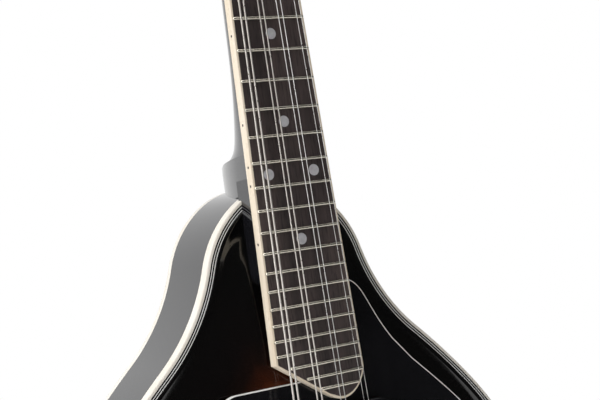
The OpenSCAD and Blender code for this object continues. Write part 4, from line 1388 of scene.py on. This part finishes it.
def spun_ring(lay, height, sides, radius_at):
    """One ring of turned work. radius_at(share) gives the radius at a share of the way round."""
    ring = []
    for j in range(sides):
        a = 2 * math.pi * j / sides
        radius = radius_at(j / sides)
        ring.append(lay(radius * math.cos(a), radius * math.sin(a), height))
    return ring


def lathe_rings(profile, lay, sides):
    return [spun_ring(lay, height, sides, lambda share: radius) for radius, height in profile]


def lathe(profile, lay, sides=48):
    """Spins (radius, height) points. lay(a, b, height) puts a point where it belongs."""
    return loft(lathe_rings(profile, lay, sides))


# %% Worms, shafts and buttons
AXIS_Y = 19.1
TEETH = 15
LEAD = 1.885
PITCH_R = TEETH * LEAD / math.pi / 2
WORM_DOWN = PITCH_R + 2.4
WORM_R = 1.9
WORM_HALF = 4.7
WORM_SIDES = 28


def shaft_lay(n):
    side_of, _, pz = post_place(n)

    def lay(a, b, height):
        return on_head(side_of * height, AXIS_Y + b, pz - WORM_DOWN - side_of * a)
    return lay


def worm_radius(phase):
    """The thread's section along the worm: a flat root, a sloping flank and a flat crest."""
    ridge = abs((phase % 1.0) - 0.5) * 2.0
    return WORM_R + min(1.0, max(0.0, (ridge - 0.34) / 0.40))


def worm_mesh(n):
    lay = shaft_lay(n)
    twist = 0.5 if post_place(n)[0] > 0 else 0.0
    steps = 78
    thread = []
    for i in range(steps + 1):
        height = POST_X - WORM_HALF + 2 * WORM_HALF * i / steps
        fade = min(1.0, i / 5.0, (steps - i) / 5.0)
        along_worm = (height - POST_X) / LEAD + twist
        thread.append(spun_ring(lay, height, WORM_SIDES,
                                lambda share: WORM_R + (worm_radius(along_worm - share) - WORM_R) * fade))
    inner = [(1.0, 9.4), (1.5, 9.6), (1.5, POST_X - 5.6), (WORM_R, POST_X - 5.55)]
    outer = [(WORM_R, POST_X + 5.55), (1.5, POST_X + 5.6), (1.5, 34.3), (2.3, 34.4), (2.4, 34.9),
             (2.4, 36.4), (1.2, 36.6)]
    return loft(lathe_rings(inner, lay, WORM_SIDES) + thread + lathe_rings(outer, lay, WORM_SIDES))


def signed_power(value, power):
    return math.copysign(abs(value) ** power, value)


def button_mesh(n):
    side_of, _, pz = post_place(n)
    rings = []
    # from one face to the other the oval grows and shrinks, and its outer end is the thinner one
    for i in range(1, 24):
        t = math.cos(math.pi * i / 24)
        grow = max(0.0, 1.0 - abs(t) ** 3.4) ** (1 / 2.6)
        ring = []
        for j in range(48):
            a = 2 * math.pi * j / 48
            x = 42.6 + 7.3 * grow * signed_power(math.cos(a), 0.86)
            y = 6.9 * grow * signed_power(math.sin(a), 0.86)
            pinch = 1.0 - 0.16 * math.cos(a)
            ring.append(on_head(side_of * x, AXIS_Y + y, pz - WORM_DOWN + 3.9 * t * pinch))
        rings.append(ring)
    return loft(rings)


for n in range(1, 9):
    verts, faces = worm_mesh(n)
    make_piece(f"tuner_{n}_worm", verts, faces, f"tuner_{n}", nickel, "nickel", [f"tuner_shaft_{n}"], 50.0)
    verts, faces = button_mesh(n)
    make_piece(f"tuner_{n}_button", verts, faces, f"tuner_{n}", ivory, "ivory_plastic", (), 60.0)

# %% Posts and gears


# one tooth, as points across it: at the root or near the tip, and how far across
TOOTH = [("root", -1.05), ("root", -0.62), ("shoulder", -0.3), ("tip", -0.2), ("tip", 0.2),
         ("shoulder", 0.3), ("root", 0.62), ("root", 1.05)]


def gear_mesh(n):
    _, px, pz = post_place(n)
    rings = []
    for y, cut in [(-1.4, 0.25), (-1.2, 0.0), (1.2, 0.0), (1.4, 0.25)]:
        # the teeth slant a little to follow the worm's thread
        skew = y * 0.125 / PITCH_R
        tip = PITCH_R + 0.42 - cut
        radii = {"root": PITCH_R - 0.6 - cut, "shoulder": tip - 0.1, "tip": tip}
        ring = []
        for t in range(TEETH):
            middle = 2 * math.pi * t / TEETH - math.pi / 2 + skew
            for level, across in TOOTH:
                radius = radii[level]
                a = middle + across / radius
                ring.append(on_head(px - radius * math.cos(a), AXIS_Y + y, pz + radius * math.sin(a)))
        rings.append(ring)
    return loft(rings)


POST_PROFILE = [
    (0.01, -12.0), (2.5, -12.0), (3.05, -11.85), (3.3, -11.5), (3.3, -10.5), (3.15, -10.15),
    (2.9, -10.0), (2.85, -9.4), (2.78, -8.6), (2.78, -6.2), (2.9, -4.6), (POST_R, -4.0),
    (POST_R, 20.2), (2.8, 20.5), (0.01, 20.6),
]


def post_mesh(n):
    _, px, pz = post_place(n)

    def lay(a, b, height):
        return on_head(px + a, height, pz + b)

    def hole_lay(a, b, height):
        return on_head(px + height, POST_HOLE_Y + a, pz + b)
    hole = cutter("hole", *lathe([(0.8, -6.0), (0.8, 6.0)], hole_lay, 24))
    return cut_through(closed_mesh("post", *lathe(POST_PROFILE, lay)), [hole])


for n in range(1, 9):
    place_mesh(f"post_{n}_pin", post_mesh(n), f"post_{n}", nickel, "nickel", [f"string_post_{n}"])
    verts, faces = gear_mesh(n)
    make_piece(f"post_{n}_gear", verts, faces, f"post_{n}", brass, "brass", (), 30.0)
print("tuners made, gear ratio", TEETH, "to 1")

# %% [markdown]
# ## Thumbwheels, knobs and end pin
# These are all turned parts. The wheels and knobs are gripped by fingers, so their rims are cut
# with ridges. A white line on each knob shows where it points, and makes its turning visible.

# %% Ridged rims


POINTS_PER_RIDGE = 6


def ridged(profile, lay, ridges, depth):
    """Lathe work whose rim has ridges. profile rows are (radius, height, share of the ridge)."""
    sides = ridges * POINTS_PER_RIDGE
    rings = []
    for radius, height, share_cut in profile:
        cut = depth * share_cut
        rings.append(spun_ring(lay, height, sides, lambda share: radius - cut * (
            0.5 - 0.5 * math.cos(2 * math.pi * share * ridges))))
    return loft(rings)


WHEEL_RIDGES = 32
WHEEL_FRONT = FRONT - 19.8
WHEEL_T = 2.2


def wheel_mesh(x):
    def lay(a, b, height):
        return ((x + a) * MM, height * MM, (BRIDGE_Z + b) * MM)
    y0 = WHEEL_FRONT
    y1 = y0 - WHEEL_T
    profile = [(1.95, y0, 0), (5.9, y0, 0), (6.4, y0 - 0.3, 1), (6.6, y0 - 0.6, 1), (6.6, y1 + 0.6, 1),
               (6.4, y1 + 0.3, 1), (5.9, y1, 0), (1.95, y1, 0)]
    verts, faces = ridged(profile, lay, WHEEL_RIDGES, 0.45)
    # the two caps give way to the wall of the bore
    n = WHEEL_RIDGES * POINTS_PER_RIDGE
    last = (len(profile) - 1) * n
    bore = [(i, (i + 1) % n, last + (i + 1) % n, last + i) for i in range(n)]
    return verts, faces[:-2] + bore


for side_name, x in (("bass", -28.0), ("treble", 28.0)):
    verts, faces = wheel_mesh(x)
    make_piece(f"wheel_{side_name}_rim", verts, faces, f"wheel_{side_name}", brass, "brass",
               [f"thumbwheel_{side_name}"], 40.0)

# %% Knobs


KNOB_PROFILE = [
    (0.01, 0.0, 0), (8.2, 0.0, 0), (9.0, 0.35, 0), (9.0, 1.7, 0), (8.6, 2.3, 0), (7.9, 2.6, 0.4),
    (7.8, 3.2, 1), (7.5, 10.4, 1), (7.3, 11.2, 0.6), (6.9, 11.8, 0), (6.3, 12.0, 0), (5.6, 11.7, 0),
    (0.01, 11.5, 0),
]
STEM_PROFILE = [(0.01, -18.4), (3.0, -18.4), (3.0, 0.1), (0.01, 0.1)]
POINTER = [(-0.5, 1.5), (0.5, 1.5), (0.5, 6.0), (-0.5, 6.0)]
KNOBS = [
    ("volume", "volume_knob", "volume_control", 78.0, 96.0),
    ("tone", "tone_knob", "tone_control", 62.0, 62.0),
]


def knob_lay(x, z):
    def lay(a, b, height):
        return ((x + a) * MM, (FRONT - 9.6 - height) * MM, (z + b) * MM)
    return lay


for name, node, body, x, z in KNOBS:
    lay = knob_lay(x, z)
    verts, faces = join_meshes([ridged(KNOB_PROFILE, lay, 28, 0.5), lathe(STEM_PROFILE, lay, 32)])
    make_piece(f"{name}_knob_turned", verts, faces, body, black_plastic, "black_plastic", [node], 40.0)
    verts, faces = prism(POINTER, lay, 11.5, 11.75)
    pointer = make_piece(f"{name}_pointer", verts, faces, body, white_plastic, "white_plastic")
    soften(pointer, 0.0001, 2)

# %% End pin


def pin_lay(a, b, height):
    return (a * MM, b * MM, height * MM)


PIN_PROFILE = [
    (0.01, 21.9), (2.85, 21.9), (2.85, 4.9), (5.6, 4.8), (6.0, 4.65), (6.2, 4.3), (6.0, 3.8),
    (5.2, 3.3), (3.9, 3.0), (3.4, 2.4), (3.2, 1.2), (3.2, -1.2), (3.45, -2.2), (4.2, -2.9),
    (5.6, -3.3), (6.4, -3.7), (6.8, -4.4), (6.75, -5.2), (6.2, -6.0), (5.0, -6.7), (3.0, -7.15),
    (0.01, -7.3),
]
verts, faces = lathe(PIN_PROFILE, pin_lay)
make_piece("end_pin_turned", verts, faces, "instrument", black_plastic,
           "black_plastic", ["strap_button"], 60.0)
print("turned parts made")

# %% Finishes for the solid nodes that stay as they are


def dress(node, finish):
    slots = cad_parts[node].data.materials
    slots.clear()
    slots.append(finish)


for node, finish in [
    ("fretboard", rosewood), ("face_dots", pearl), ("neck_block", bare_wood), ("tail_block", bare_wood),
    ("linings", bare_wood), ("tone_bars", bare_wood), ("truss_rod", plain_steel), ("truss_nut", brass),
    ("pickguard_spacers", rubber), ("wood_screws", nickel), ("bridge_posts", plain_steel),
    ("tailpiece_screws", nickel), ("post_bushings", nickel), ("pickup_coil", coil_wire),
    ("potentiometers", nickel), ("jack_socket", nickel),
]:
    dress(node, finish)
